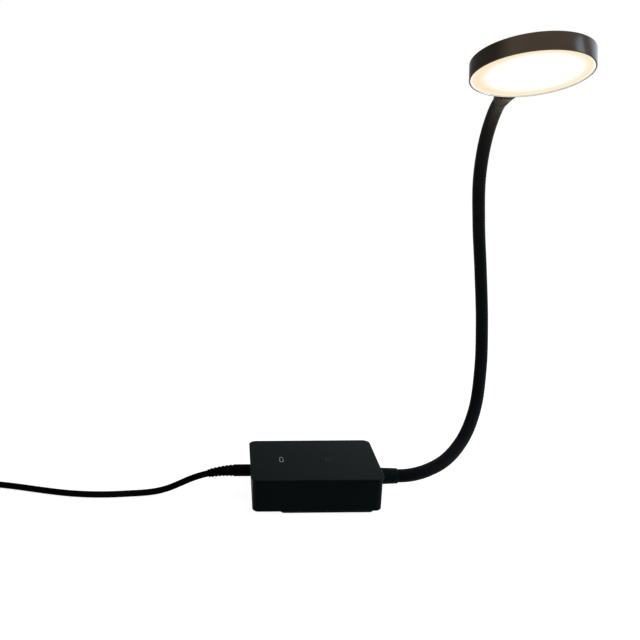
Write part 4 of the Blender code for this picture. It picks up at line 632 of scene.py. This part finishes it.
# %% Mains cord
CORD_RADIUS = 0.0028
COIL_CENTRE = (-0.318, -0.029)
COIL_RADIUS, COIL_TURNS, COIL_STEPS = 0.0445, 7.25, 24
COIL_PITCH, COIL_FLOOR = 0.0062, 0.0039
CLIMB_HALF = 0.25
CORD_EXIT = Vector((-0.0921, 0, 0.0194))
CORD_SLOPE = 0.24348
PLUG_END = Vector((-0.3665, -0.0735, 0.0068))


def coil_points():
    """The coil's centreline, from the outside of its lower layer to that of its upper one."""
    middle = COIL_TURNS / 2
    count = round(COIL_TURNS * COIL_STEPS)
    points = []
    for index in range(count + 1):
        turns = COIL_TURNS * index / count
        away = abs(turns - middle)
        if away < CLIMB_HALF:
            away = (away ** 2 / CLIMB_HALF + CLIMB_HALF) / 2
        radius = COIL_RADIUS - COIL_PITCH * (middle - away)
        share = min(1, max(0, (turns - middle + CLIMB_HALF) / (2 * CLIMB_HALF)))
        height = COIL_FLOOR + COIL_PITCH * share ** 2 * (3 - 2 * share)
        angle = math.pi / 2 + 2 * math.pi * turns
        points.append(Vector((
            COIL_CENTRE[0] + radius * math.cos(angle), COIL_CENTRE[1] + radius * math.sin(angle), height)))
    return points


coil = coil_points()
left, front = Vector((-1, 0, 0)), Vector((0, -1, 0))
along_front = front * 2 * CORD_RADIUS
coil_start, coil_end = coil[0] - left * 2 * CORD_RADIUS, coil[-1] + along_front
free = [
    CORD_EXIT, (-0.1, 0, 0.0172), (-0.1085, -0.0002, 0.0141), (-0.118, -0.0006, 0.0098),
    (-0.1275, -0.0012, 0.006), (-0.137, -0.002, 0.0037), (-0.147, -0.003, CORD_RADIUS),
    (-0.16, -0.0044, CORD_RADIUS), (-0.176, -0.0056, CORD_RADIUS), (-0.194, -0.0055, CORD_RADIUS),
    (-0.212, -0.0036, CORD_RADIUS), (-0.23, 0.0001, CORD_RADIUS), (-0.248, 0.0047, CORD_RADIUS),
    (-0.266, 0.0094, CORD_RADIUS), (-0.284, 0.013, 0.003), (-0.3, 0.015, 0.0036), coil_start]
tail = [coil_end, coil_end + along_front, (coil_end + PLUG_END) / 2, PLUG_END - along_front, PLUG_END]
line = smooth_points(free, (-1, 0, -CORD_SLOPE), left, 3) + coil + smooth_points(tail, front, front, 3)
cord_length = sum((after - before).length for before, after in zip(line, line[1:]))

curve = bpy.data.curves.new("mains_cord", "CURVE")
curve.dimensions = "3D"
curve.bevel_depth = CORD_RADIUS
curve.bevel_resolution = 6
curve.use_fill_caps = True
spline = curve.splines.new("POLY")
spline.points.add(len(line) - 1)
for spot, point in zip(spline.points, line):
    spot.co = (*point, 1)
cord = bpy.data.objects.new("mains_cord", curve)
curve.materials.append(CORD_RUBBER)
scene.collection.objects.link(cord)
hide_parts("cord", "cord_coil", "cord_tail")
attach(cord, "base")
print(f"mains cord: {cord_length:.3f} m in {len(line)} points")

# %% [markdown]
# A strap of soft black band holds the coil together. It is a flat loop round the coil's section:
# a box bevelled along its run, hollowed by a smaller box of the same kind.

# %% Coil strap
STRAP_PLACE = Matrix.Translation((*COIL_CENTRE, 0)) @ Matrix.Rotation(math.radians(225), 4, "Z")
STRAP_INSIDE, STRAP_OUTSIDE, STRAP_TOP = 0.018625, 0.0479, 0.0132
STRAP_HALF, STRAP_THICKNESS = 0.0045, 0.0008


def strap_shape(grow_side, grow_run, corner):
    """A block along the coil's section, rounded on the edges that run across the strap."""
    bm = bmesh.new()
    add_block(
        bm, (STRAP_INSIDE - grow_side, -STRAP_HALF - grow_run, STRAP_THICKNESS - grow_side),
        (STRAP_OUTSIDE + grow_side, STRAP_HALF + grow_run, STRAP_TOP + grow_side))
    round_off(bm, [e for e in bm.edges if abs(e.verts[0].co.y - e.verts[1].co.y) > STRAP_HALF], corner, 6)
    bmesh.ops.transform(bm, matrix=STRAP_PLACE, verts=bm.verts[:])
    return bm


def make_strap_band():
    """Woven band: rows of fine loops across its width, over soft black thread."""
    material, tree, shader = new_material("strap band")
    place = own_place(tree)
    turn = add_node(tree, "Mapping", Vector=place, Rotation=(0, 0, math.radians(-45)))
    rows = add_node(
        tree, "TexWave", {"bands_direction": "Y"}, Vector=turn.outputs[0], Scale=420.0, Distortion=1.2,
        Detail=2.0)
    loops = noise(tree, place, 2200.0, 3.0)
    feed(
        tree, shader, Base_Color=mixed(tree, loops, (0.006, 0.006, 0.007), (0.018, 0.018, 0.020)),
        Roughness=ramp(tree, loops, 0.3, 0.7, 0.75, 0.95), Specular_IOR_Level=0.2)
    emboss(tree, shader, maths(tree, "ADD", rows.outputs["Fac"], loops), 0.0002)
    return material


strap = set_down(
    "coil_strap", strap_shape(STRAP_THICKNESS, 0, 0.0028), make_strap_band(), "base",
    ["coil_tie"])
cut(strap, strap_shape(0, 0.001, 0.002))
soften(strap, 0.00015)

# %% [markdown]
# The plug is a slim two-pin mains plug. It is modelled as a block whose back is drawn in, then
# rounded by a wide bevel, with a ribbed tail on the cord's side. The pins are nickel-plated, with
# a plastic sleeve near the body, as on the real kind.

# %% Mains plug
PLUG_HALF = Vector((0.01765, 0.013, 0.0068))
PLUG_REAR = PLUG_END.y - 0.013
PLUG_MIDDLE = Vector((PLUG_END.x, PLUG_REAR - PLUG_HALF.y, PLUG_END.z))
PLUG_DRAWN_IN = 0.55
PIN_OFF_CENTRE = 0.0093
BARE_PIN = (
    (NEAR_AXIS, 0.019), (0.0010, 0.019), (0.0017, 0.0186), (0.0020, 0.0180), (0.0020, 0.0088),
    (NEAR_AXIS, 0.0088))
PIN_SHEATH = (
    (NEAR_AXIS, 0.0088), (0.0018, 0.0088), (0.0019, 0.0086), (0.0019, -0.0035), (NEAR_AXIS, -0.0035))

bm = bmesh.new()
add_block(bm, PLUG_MIDDLE - PLUG_HALF, PLUG_MIDDLE + PLUG_HALF)
for vert in bm.verts:
    if vert.co.y > PLUG_MIDDLE.y:
        vert.co.x = PLUG_END.x + (vert.co.x - PLUG_END.x) * PLUG_DRAWN_IN
round_off(bm, bm.edges[:], 0.0022, 5)
plug = set_down("plug_body", bm, CORD_RUBBER, "base", ["mains_plug"], sharp=50)
soften(plug, 0.0002, 50)

outline = [(0.0001, 0.0147), (0.0030, 0.0147)]
for rib in range(6):
    start, radius = 0.0142 - rib * 0.0021, 0.0034 + rib * 0.00026
    for back, depth in ((0, 0), (0.0012, 0), (0.0014, 0.0006), (0.0019, 0.0006)):
        outline.append((radius - depth, start - back))
outline += [(0.0050, 0.0012), (0.0001, 0.0012)]
place = facing((PLUG_END.x, PLUG_REAR - 0.0017, PLUG_END.z), (0, 1, 0))
plug_tail = set_down("plug_tail", turned(outline, place, 40), CORD_RUBBER, "base")

NICKEL = finish(
    "nickel plate", (0.60, 0.58, 0.53), (0.66, 0.64, 0.60), 0.24, grain=0.0006, bump=0.000004, metal=1.0,
    wear=0.4, worn=(0.75, 0.73, 0.70), wear_width=0.0003)
plug_pieces = [plug, plug_tail]
for number, side in ((1, -1), (2, 1)):
    foot = (PLUG_END.x + side * PIN_OFF_CENTRE, PLUG_MIDDLE.y - PLUG_HALF.y, PLUG_END.z)
    bare, sheath = (turned(outline, facing(foot, (0, -1, 0)), 32) for outline in (BARE_PIN, PIN_SHEATH))
    plug_pieces += [
        set_down(f"bare_pin_{number}", bare, NICKEL, "base", [f"plug_pin_{number}"]),
        set_down(f"pin_sheath_{number}", sheath, CORD_RUBBER, "base")]

# %% [markdown]
# The cord relief is one rubber moulding: a plain barrel at the wall, then a tapering tail cut into
# ribs so that it can bend. Its outline of flats and grooves is spun into a straight piece first.
# A bend by hand would stretch it unevenly, so each point is then lowered by a smooth rule of its
# distance from the wall, and leaned with the slope there.

# %% Cord relief
WALL_X = -0.0543
RELIEF_Z = 0.0222
RELIEF_PLACE = facing((WALL_X, 0, RELIEF_Z), (-1, 0, 0))
RELIEF_LENGTH, RELIEF_PLAIN, RELIEF_DROP = 0.0375, 0.0145, 0.0028
RELIEF_RADIUS, RELIEF_TIP = 0.0052, 0.0036
RIBS = 7
RIB_SHAPE = (
    (0.98, 0.0), (0.86, 0.0), (0.78, 0.00007), (0.72, 0.0005), (0.38, 0.0005), (0.32, 0.00007), (0.24, 0.0))

outline = [
    (NEAR_AXIS, RELIEF_LENGTH), (RELIEF_TIP - 0.0002, RELIEF_LENGTH), (RELIEF_TIP, RELIEF_LENGTH - 0.0002)]
tail_run = RELIEF_LENGTH - RELIEF_PLAIN
for rib in reversed(range(RIBS)):
    for share, depth in RIB_SHAPE:
        along_tail = (rib + share) / RIBS
        radius = RELIEF_RADIUS + (RELIEF_TIP - RELIEF_RADIUS) * along_tail
        outline.append((radius - depth, RELIEF_PLAIN + tail_run * along_tail))
outline += [
    (RELIEF_RADIUS, RELIEF_PLAIN), (RELIEF_RADIUS, 0.0012), (RELIEF_RADIUS - 0.0003, 0.0004),
    (0.0040, 0.0003), (0.0040, -0.0025), (0.0054, -0.0025), (0.0054, -0.0049), (NEAR_AXIS, -0.0049)]
bm = turned(outline, RELIEF_PLACE, 64)
for vert in bm.verts:
    share = max(0, WALL_X - vert.co.x - RELIEF_PLAIN) / tail_run
    vert.co.x -= (vert.co.z - RELIEF_Z) * 2 * RELIEF_DROP * share / tail_run
    vert.co.z -= RELIEF_DROP * share ** 2
set_down("ribbed_relief", bm, CORD_RUBBER, "base", ["cord_relief"], sharp=40)

# %% [markdown]
# The box is two mouldings. The tray has a floor with rounded lower edges, and its walls stand a
# millimetre back under the lid, which leaves the dark line round the top. The tray is a rounded
# box, hollowed by a smaller one, and drilled for the relief, the collar and the four screws.

# %% Base tray
TRAY_HALF, TRAY_WALL = (0.0543, 0.0353), 0.0022
TRAY_INSIDE = [half - TRAY_WALL for half in TRAY_HALF]
TRAY_BOTTOM, TRAY_TOP, TRAY_FLOOR = 0.0023, 0.0302, 0.0047
SCREW_X, SCREW_Y = 0.047, 0.028
SCREW_HOLE = (
    (NEAR_AXIS, 0.001), (0.0028, 0.001), (0.0028, 0.0041), (0.0015, 0.0041), (0.0015, 0.006),
    (NEAR_AXIS, 0.006))

bm = slab(TRAY_HALF, TRAY_BOTTOM, TRAY_TOP, 0.0053, 12)
round_edges_at(bm, TRAY_BOTTOM, 0.001, 5)
tray = set_down("base_tray", bm, BOX, "base", ["base_shell"])
relief_hole = rod(0.0043, -0.01, 0.01, RELIEF_PLACE)
collar_hole = rod(0.0053, -0.01, 0.01, facing((TRAY_HALF[0], 0, NECK_HEIGHT), (1, 0, 0)))
screw_holes = [
    turned(SCREW_HOLE, Matrix.Translation((x, y, 0)), 32)
    for x in (-SCREW_X, SCREW_X) for y in (-SCREW_Y, SCREW_Y)]
cut(tray, slab(TRAY_INSIDE, TRAY_FLOOR, TRAY_TOP + 0.002, 0.0031, 8), relief_hole, collar_hole, *screw_holes)
soften(tray, 0.0002, 50)

# %% [markdown]
# The lid is a 2 mm plate with crisp edges. Its top edge catches the light as one thin line, so the
# edge is rounded with a real bevel and not left to shading. Its lower edge slopes back to the tray,
# which keeps the line under it dark. The button's round hole and the socket's long slot are cut
# through it. A skirt under the plate locates it in the tray.

# %% Lid
LID_HALF, LID_LOW, LID_TOP = (0.0555, 0.0365), 0.0305, 0.0325
SKIRT_HALF, SKIRT_INSIDE = (0.0518, 0.0328), (0.0506, 0.0316)
BUTTON_X, SOCKET_X = 0.012, -0.028
BUTTON_PLACE = Matrix.Translation((BUTTON_X, 0, 0))

bm = slab(LID_HALF, LID_LOW, LID_TOP, 0.0065, 14)
round_edges_at(bm, LID_TOP, 0.0004, 3)
round_edges_at(bm, LID_LOW, 0.001, 1)
lid = set_down("lid", bm, LID, "base", ["top_cover"])


def slot_shape(long, short, low, high):
    """A round-ended block for the socket, whose long side runs from front to back."""
    corner = (SOCKET_X - short / 2, -long / 2, low)
    return rounded_box(corner, (SOCKET_X + short / 2, long / 2, high), short * 0.495, 12)


cut(lid, rod(0.0060, 0.03, 0.034, BUTTON_PLACE, 72), slot_shape(0.00954, 0.00386, 0.029, 0.034))
soften(lid, 0.00012)
skirt = set_down("lid_skirt", slab(SKIRT_HALF, 0.0280, LID_LOW, 0.0028, 8), BOX, "base")
cut(skirt, slab(SKIRT_INSIDE, 0.0270, 0.0320, 0.0016, 8))

# %% [markdown]
# The power button is a round cap, flush with the lid, with the usual power sign printed on it: an
# open ring round a short bar, inside a thin full ring. The cap is turned from an outline with a
# very shallow dish. The sign is raised by a hair as ink is, and made of swept arcs, so it stays
# crisp at any distance.

# %% Power button
INK = 0.00003
cap_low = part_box("power_button")[0].z
outline = [
    (NEAR_AXIS, 0.03250), (0.0030, 0.03252), (0.0050, 0.03258), (0.00545, 0.0326), (0.00563, 0.03256),
    (0.00573, 0.03245), (0.00575, 0.0323), (0.00575, 0.0302), (0.00675, 0.0302), (0.00675, 0.0294),
    (0.0015, 0.0294), (0.0015, cap_low), (NEAR_AXIS, cap_low)]
set_down(
    "button_cap", turned(outline, BUTTON_PLACE), LID, "power_button", ["power_button"],
    sharp=40)


def arc(radius, width, start, end, height, steps):
    """A flat printed arc, a hair thick, whose angles are measured from the back."""
    bm = bmesh.new()
    section = ((-width / 2, 0), (-width / 2, INK), (width / 2, INK), (width / 2, 0))
    side = [bm.verts.new((radius + out, 0, height + lift)) for out, lift in section]
    loop = [bm.edges.new((side[index - 1], side[index])) for index in (1, 2, 3, 0)]
    full = end - start == 360
    turn = Matrix.Rotation(math.radians(90 + start), 3, "Z")
    bmesh.ops.rotate(bm, cent=(0, 0, 0), matrix=turn, verts=side)
    made = bmesh.ops.spin(
        bm, geom=side + loop, cent=(0, 0, 0), axis=(0, 0, 1), angle=math.radians(end - start),
        steps=steps, use_merge=full)
    if not full:
        last = [part for part in made["geom_last"] if isinstance(part, bmesh.types.BMEdge)]
        bmesh.ops.contextual_create(bm, geom=loop)
        bmesh.ops.contextual_create(bm, geom=last)
    bmesh.ops.recalc_face_normals(bm, faces=bm.faces[:])
    bmesh.ops.transform(bm, matrix=BUTTON_PLACE, verts=bm.verts[:])
    return bm


bar = rounded_box((BUTTON_X - 0.0002, 0.0006, 0.03250), (BUTTON_X + 0.0002, 0.0029, 0.03254), 0.00012, 3)
for name, shape in (
        ("sign_outer_ring", arc(0.00515, 0.0003, 0, 360, 0.03257, 72)),
        ("sign_open_ring", arc(0.00205, 0.00042, 32, 328, 0.03249, 48)), ("sign_bar", bar)):
    set_down(name, shape, MARK, "power_button")

# %% [markdown]
# The charging socket is a pressed steel shell with round ends and a thin tongue of contacts. The
# shell's mouth sits a hair below the lid. Two slot shapes give its wall, one cut from the other,
# and the contacts are a row of small gold pads on the black tongue.

# %% Charging socket
shell_low, shell_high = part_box("usb_c_shell")
tongue_low, tongue_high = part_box("usb_c_tongue")
CONTACT_HALF, CONTACT_PITCH, CONTACTS = Vector((0.00003, 0.00013, 0.0009)), 0.0005, 12
GOLD = finish(
    "contact gold", (0.78, 0.52, 0.20), (0.82, 0.58, 0.26), 0.25, grain=0.0003, bump=0.000002, metal=1.0)

block = slot_shape(0.00894, 0.00326, shell_low.z, shell_high.z)
shell = set_down("socket_shell", block, NICKEL, "base", ["usb_c_shell"])
cut(shell, slot_shape(0.00824, 0.00256, shell_low.z + 0.0009, shell_high.z + 0.001))
soften(shell, 0.00008)
block = rounded_box(tongue_low, tongue_high, 0.0002, 3)
set_down("socket_tongue", block, BOX, "base", ["usb_c_tongue"])
bm = bmesh.new()
for row in range(CONTACTS):
    for side in (-0.00037, 0.00037):
        along_tongue = (row - (CONTACTS - 1) / 2) * CONTACT_PITCH
        middle = Vector((SOCKET_X + side, along_tongue, tongue_high.z - 0.0014))
        add_block(bm, middle - CONTACT_HALF, middle + CONTACT_HALF)
round_off(bm, bm.edges[:], 0.00002, 1)
set_down("socket_contacts", bm, GOLD, "base")

# %% [markdown]
# Under the base a rubber pad grips the table. It is a thin slab with rounded corners and a soft
# lower rim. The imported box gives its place, which is a little to the right of the box's middle.

# %% Grip pad
pad_low, pad_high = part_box("grip_pad")
bm = rounded_box(pad_low, pad_high, 0.004, 8)
round_edges_at(bm, pad_low.z, 0.0005, 3)
set_down("pad", bm, PAD_RUBBER, "base", ["grip_pad"])

# %% [markdown]
# The collar is the neck's foot: a short moulded cone on the right wall with a rounded rim, bored
# for the sleeve. It is hollow, so its outline closes on itself and the spin gives inside and
# outside at once.

# %% Neck collar
NECK_RADIUS = 0.0058
collar_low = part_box("neck_collar")[0].x
outline = [
    (0.0061, COLLAR_TIP - 0.0002), (0.00618, COLLAR_TIP), (0.0063, COLLAR_TIP),
    (0.0065, COLLAR_TIP - 0.0001), (0.00666, COLLAR_TIP - 0.0003), (0.0067, COLLAR_TIP - 0.0006),
    (0.0073, 0.0553), (0.00727, 0.0548), (0.0071, 0.0546), (0.0050, 0.0546), (0.0050, collar_low),
    (0.0030, collar_low), (0.0030, 0.0567), (0.0050, 0.0567), (0.0050, 0.0622), (0.0061, 0.0622),
    (0.0061, COLLAR_TIP - 0.0002)]
collar = turned(outline, facing((0, 0, NECK_HEIGHT), (1, 0, 0)), 64)
set_down("collar", collar, COLLAR_PLASTIC, "base", ["neck_collar"], sharp=40)

# %% [markdown]
# The neck is a rubber sleeve round a metal gooseneck. On the real lamp the sleeve is one piece. In
# the moving model the gooseneck turns at seven joints, and a stiff tube would break open there.
# So the sleeve is made in seven stretches, each from the middle of one length to the middle of the
# next, with one joint in its middle. The line that they follow is the same smooth curve that the
# solids follow.

# %% Neck sleeve
def socket_axis(share):
    """A section's frame at a share of the head socket's length out from the housing."""
    place = Vector((-HEAD_SOCKET_LENGTH * share, 0, -HEAD_SOCKET_DROP * share ** 2))
    pitch = math.atan2(2 * HEAD_SOCKET_DROP * share, HEAD_SOCKET_LENGTH)
    z_along_x = Matrix(((0, 0, 1, 0), (1, 0, 0, 0), (0, 1, 0, 0), (0, 0, 0, 1)))
    return HEAD_FRAME @ Matrix.Translation(place) @ Matrix.Rotation(-pitch, 4, "Y") @ z_along_x


NECK_START, INTO_SOCKET, STEPS_PER_SPAN = 0.0570, 0.0067, 24
mouth = socket_axis(1)
entry = mouth.col[2].xyz.normalized()
points = [Vector((x, 0, NECK_HEIGHT)) for x in (NECK_START, COLLAR_TIP, COLLAR_TIP + 0.004)]
points += [neck_point(shares) for shares in NECK_SHARES[:-1]]
points += [mouth.to_translation() + entry * distance for distance in (-0.007, 0, INTO_SOCKET)]
route = smooth_points(points, (1, 0, 0), entry, STEPS_PER_SPAN)
distances = [0.0]
for before, after in zip(route, route[1:]):
    distances.append(distances[-1] + (after - before).length)
neck_length = distances[-1]
print(f"neck line: {neck_length:.4f} m")


def route_frames():
    """Frames along the neck's line that don't twist."""
    across, frames, last = Vector((0, 0, 1)), [], len(route) - 1
    for index in range(last + 1):
        way = (route[min(index + 1, last)] - route[max(index - 1, 0)]).normalized()
        across = (across - way * across.dot(way)).normalized()
        turn = Matrix((across, way.cross(across), way)).transposed().to_4x4()
        frames.append(Matrix.Translation(route[index]) @ turn)
    return frames


NECK_FRAMES = route_frames()


def neck_place(distance):
    """The neck's frame at a distance along its line."""
    index = max(i for i in range(len(distances) - 1) if distances[i] <= distance or i == 0)
    share = (distance - distances[index]) / (distances[index + 1] - distances[index])
    return NECK_FRAMES[index].lerp(NECK_FRAMES[index + 1], share)


# %% [markdown]
# The joints' places come from the imported record, so the stretches can't drift from the solids. A
# bend spread over 16 mm on each side of its joint would read as rubber, where a sharp one would read
# as a break. Such reaches are listed, shorter beside the collar and the head where there is less
# room, but the stretches don't use them.

# %% Sleeve stretches
joints = [joint for joint in frame["joints"] if joint["name"].startswith("neck_bend")]
print(len(joints), "neck joints:", sorted(joints[0]))


def nearest_distance(place):
    """How far along the neck's line a point lies."""
    place = Vector(place)
    return distances[min(range(len(route)), key=lambda i: (route[i] - place).length)]


SLEEVE_START, SLEEVE_END = 0.0055, neck_length - 0.003
SLEEVE_INNER, RING_PITCH = NECK_RADIUS - 0.001, 0.002
FIRST_REACH, BEND_REACH, LAST_REACH = 0.0068, 0.016, 0.0135
joint_spots = [nearest_distance(joint["pos_m"]) for joint in joints]
middles = [(before + after) / 2 for before, after in zip(joint_spots, joint_spots[1:])]
ends = [SLEEVE_START] + middles + [SLEEVE_END]
reaches = [FIRST_REACH] + [BEND_REACH] * (len(joints) - 2) + [LAST_REACH]
for index, joint in enumerate(joints):
    start, end = ends[index], ends[index + 1]
    count = round((end - start) / RING_PITCH)
    spots = [start + (end - start) * step / count for step in range(count + 1)]
    sections = [(neck_place(spot), NECK_RADIUS, NECK_RADIUS) for spot in spots]
    sections += [(neck_place(spot), SLEEVE_INNER, SLEEVE_INNER) for spot in reversed(spots)]
    replaced = [f"neck_sleeve_{index}"] + (["neck_sleeve_7"] if index == len(joints) - 1 else [])
    stretch = set_down(
        f"sleeve_{index + 1}", joined_ends(sections, 40), SLEEVE_RUBBER, None, replaced,
        sharp=60)
    spot, reach = joint_spots[index], reaches[index]
    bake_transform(stretch)
print("sleeve stretches end at", [round(end, 3) for end in ends])

# %% [markdown]
# Where the neck meets the head, a flat metal funnel spreads from the round tube to the wall of the
# housing. Its sections are circles that widen sideways but stay as low as the head is. The last
# one is pulled back onto the round wall, so no gap shows. Behind the wall it goes on as a thin
# stub with a bore for the lead, and inside the mouth it holds the end of the sleeve.

# %% Head socket
MOUTH_RADIUS, SOCKET_SPREAD, FLAT_HALF = 0.0064, 0.0054, 0.0062
SOCKET_STEPS = 28


def along(place, distance):
    return place @ Matrix.Translation((0, 0, distance))


rim = ((0.0002, 0.0061), (0, 0.00618), (0, 0.00626), (0.00008, 0.00636), (0.0002, MOUTH_RADIUS))
sections = [(along(mouth, depth), radius, radius) for depth, radius in rim]
for step in range(1, SOCKET_STEPS + 1):
    grown = step / SOCKET_STEPS
    wide = MOUTH_RADIUS + SOCKET_SPREAD * (0.63 * grown + 0.37 * grown ** 2)
    high = MOUTH_RADIUS + (FLAT_HALF - MOUTH_RADIUS) * min(1, 4 * grown)
    sections.append((socket_axis(1 - grown), wide, high))
stub = ((0, 0.0020), (0.0056, 0.0020), (0.0056, 0.0014))
bore = ((0.007, 0.0014), (0.007, 0.0050), (0.004, 0.0050), (0.004, 0.0061))
for place, steps in ((socket_axis(0), stub), (mouth, bore)):
    sections += [(along(place, depth), radius, radius) for depth, radius in steps]
bm = joined_ends(sections, 64)
to_head = HEAD_FRAME.inverted()
for vert in bm.verts:
    spot = to_head @ vert.co
    if abs(spot.x) < 1e-6:
        spot.x = HEAD_RADIUS - math.sqrt((HEAD_RADIUS + 0.0003) ** 2 - spot.y ** 2)
        vert.co = HEAD_FRAME @ spot
set_down("neck_funnel", bm, FUNNEL_METAL, "lamp_head", ["head_socket"], sharp=40)

# %% [markdown]
# The head is a shallow turned cup of metal. Its crisp upper edge is a real quarter round, drawn
# point by point in the outline, since that one highlight gives the whole disc its shape. The lower
# lip is thin and stands just proud of the opal face.

# %% Head housing and opal face
def quarter(centre, radius, start, steps=6):
    """Outline points of a quarter circle, from an angle in degrees and a quarter turn down."""
    turns = [math.radians(start - 90 * step / steps) for step in range(steps + 1)]
    return [(centre[0] + radius * math.cos(turn), centre[1] + radius * math.sin(turn)) for turn in turns]


LIP_RADIUS, FACE_RADIUS = 0.0421, 0.0423
HEAD_SIDES = 160
outline = [(NEAR_AXIS, HEAD_HALF), (0.020, HEAD_HALF), (0.038, HEAD_HALF)]
outline += quarter((HEAD_RADIUS - 0.0008, HEAD_HALF - 0.0008), 0.0008, 90)
outline += quarter((HEAD_RADIUS - 0.0003, -HEAD_HALF + 0.0003), 0.0003, 0, 4)
outline += [
    (LIP_RADIUS + 0.0001, -HEAD_HALF), (LIP_RADIUS, -0.0064), (LIP_RADIUS, -0.0059), (0.0426, -0.0059),
    (0.0426, -0.0034), (0.0408, -0.0034), (0.0408, 0.0050), (NEAR_AXIS, 0.0050)]
cup = turned(outline, HEAD_PLACE, HEAD_SIDES)
housing = set_down("head_cup", cup, HEAD_METAL, "lamp_head", ["head_housing"], sharp=50)
cut(housing, rod(0.0023, -0.001, 0.0032, HEAD_FRAME @ facing((0, 0, 0), (1, 0, 0)), 32))
housing.data.materials.append(BARE_METAL)
to_disc = HEAD_PLACE.inverted()
for face in housing.data.polygons:
    spot = to_disc @ face.center
    if spot.z < -0.0058 and spot.xy.length < LIP_RADIUS + 0.0001:
        face.material_index = 1

outline = [(NEAR_AXIS, -0.0037), (FACE_RADIUS, -0.0037)]
outline += quarter((FACE_RADIUS - 0.0004, -0.0053), 0.0004, 0, 4)
outline += [(0.030, -0.0057), (0.015, -0.0057), (NEAR_AXIS, -0.0057)]
disc = turned(outline, HEAD_PLACE, HEAD_SIDES)
set_down("lit_face", disc, OPAL, "lamp_head", ["diffuser"], sharp=50)

# %% [markdown]
# What is left is inside the lamp or under it, and keeps its CAD solid. It still gets real
# finishes, because the model can be opened up: rolled steel for the ballast, zinc for the nuts,
# green and white boards with copper tracks under the mask, a taped transformer and a sleeved
# capacitor.

# %% Finishes: inside
STEEL = finish(
    "bright steel", (0.44, 0.44, 0.45), (0.52, 0.52, 0.52), 0.3, grain=0.0008, bump=0.000006, metal=1.0,
    wear=0.5, worn=(0.66, 0.66, 0.66))
ZINC = finish(
    "zinc plate", (0.50, 0.52, 0.54), (0.60, 0.61, 0.60), 0.34, grain=0.0012, bump=0.000008, metal=1.0,
    roughness_drift=0.14)
CORE_METAL = finish(
    "dark gooseneck", (0.10, 0.10, 0.11), (0.15, 0.15, 0.15), 0.36, grain=0.0006, metal=1.0, wear=0.3)
WHITE_PLASTIC = finish(
    "white insulation", (0.74, 0.73, 0.70), (0.80, 0.79, 0.77), 0.42, grain=0.0006, bump=0.000006)
TAPE = finish(
    "winding tape", (0.62, 0.40, 0.05), (0.72, 0.50, 0.09), 0.4, grain=0.0011, bump=0.00002)
CAN_SLEEVE = finish(
    "capacitor sleeve", (0.015, 0.022, 0.060), (0.022, 0.030, 0.075), 0.36, grain=0.0007, bump=0.000008)
BLACK_RUBBER = finish(
    "lead rubber", (0.006, 0.006, 0.006), (0.010, 0.010, 0.010), 0.6, grain=0.0006, gloss=0.2)


def make_board(name, mask, track, scale=520.0):
    """A circuit board: copper tracks show as raised, paler lines under a coloured mask."""
    material, tree, shader = new_material(name)
    place = own_place(tree)
    tracks = add_node(
        tree, "TexBrick", {"offset": 0.37, "squash": 1.0}, Vector=place, Scale=scale,
        Mortar_Size=0.035).outputs["Fac"]
    fine = noise(tree, place, 1500.0)
    colour = mixed(tree, maths(tree, "MULTIPLY", fine, 0.2), mixed(tree, tracks, mask, track), track)
    feed(tree, shader, Base_Color=colour, Roughness=ramp(tree, fine, 0.3, 0.7, 0.3, 0.45))
    emboss(tree, shader, tracks, 0.00003)
    return material


GREEN_BOARD = make_board("green board", (0.010, 0.085, 0.030), (0.05, 0.20, 0.08))
WHITE_BOARD = make_board("white board", (0.74, 0.74, 0.71), (0.62, 0.62, 0.58), 300.0)


def make_rolled_steel():
    """Rolled plate: fine streaks that all run one way, with patches of oil-dark scale."""
    material, tree, shader = new_material("rolled steel")
    place = own_place(tree)
    stretch = add_node(tree, "Mapping", Vector=place, Scale=(0.03, 1, 1))
    streaks = noise(tree, stretch.outputs[0], 2400.0, 3.0, 0.7)
    scale = ramp(tree, noise(tree, place, 60.0, 5.0, 0.6), 0.35, 0.7)
    colour = mixed(tree, scale, (0.26, 0.26, 0.27), (0.40, 0.40, 0.41))
    colour = mixed(tree, maths(tree, "MULTIPLY", streaks, 0.35), colour, (0.55, 0.55, 0.55))
    feed(tree, shader, Base_Color=colour, Roughness=ramp(tree, streaks, 0.3, 0.7, 0.34, 0.52), Metallic=1.0)
    emboss(tree, shader, streaks, 0.00002)
    return material


ROLLED_STEEL = make_rolled_steel()

# %% [markdown]
# Each CAD solid that still shows now gets its finish. A table of name starts is short to read, and
# the loop says out loud if a solid was forgotten.

# %% CAD solids that stay
KEPT = {
    "base_screw": STEEL, "power_board_screw": STEEL, "control_board_screw": STEEL, "led_board_screw": STEEL,
    "ballast_plate": ROLLED_STEEL, "collar_nut": ZINC, "head_nut": ZINC, "power_board": GREEN_BOARD,
    "control_board": GREEN_BOARD, "transformer": TAPE, "capacitor": CAN_SLEEVE, "button_switch": BOX,
    "mains_lead": BLACK_RUBBER, "neck_lead": WHITE_PLASTIC, "head_lead": WHITE_PLASTIC,
    "neck_core": CORE_METAL, "reflector": WHITE_PLASTIC, "led_board": WHITE_BOARD}
for name, node in nodes.items():
    if node.hide_render:
        continue
    starts = [start for start in KEPT if name.startswith(start)]
    if not starts:
        print("no finish for", name)
        continue
    node.data.materials.clear()
    node.data.materials.append(KEPT[max(starts, key=len)])
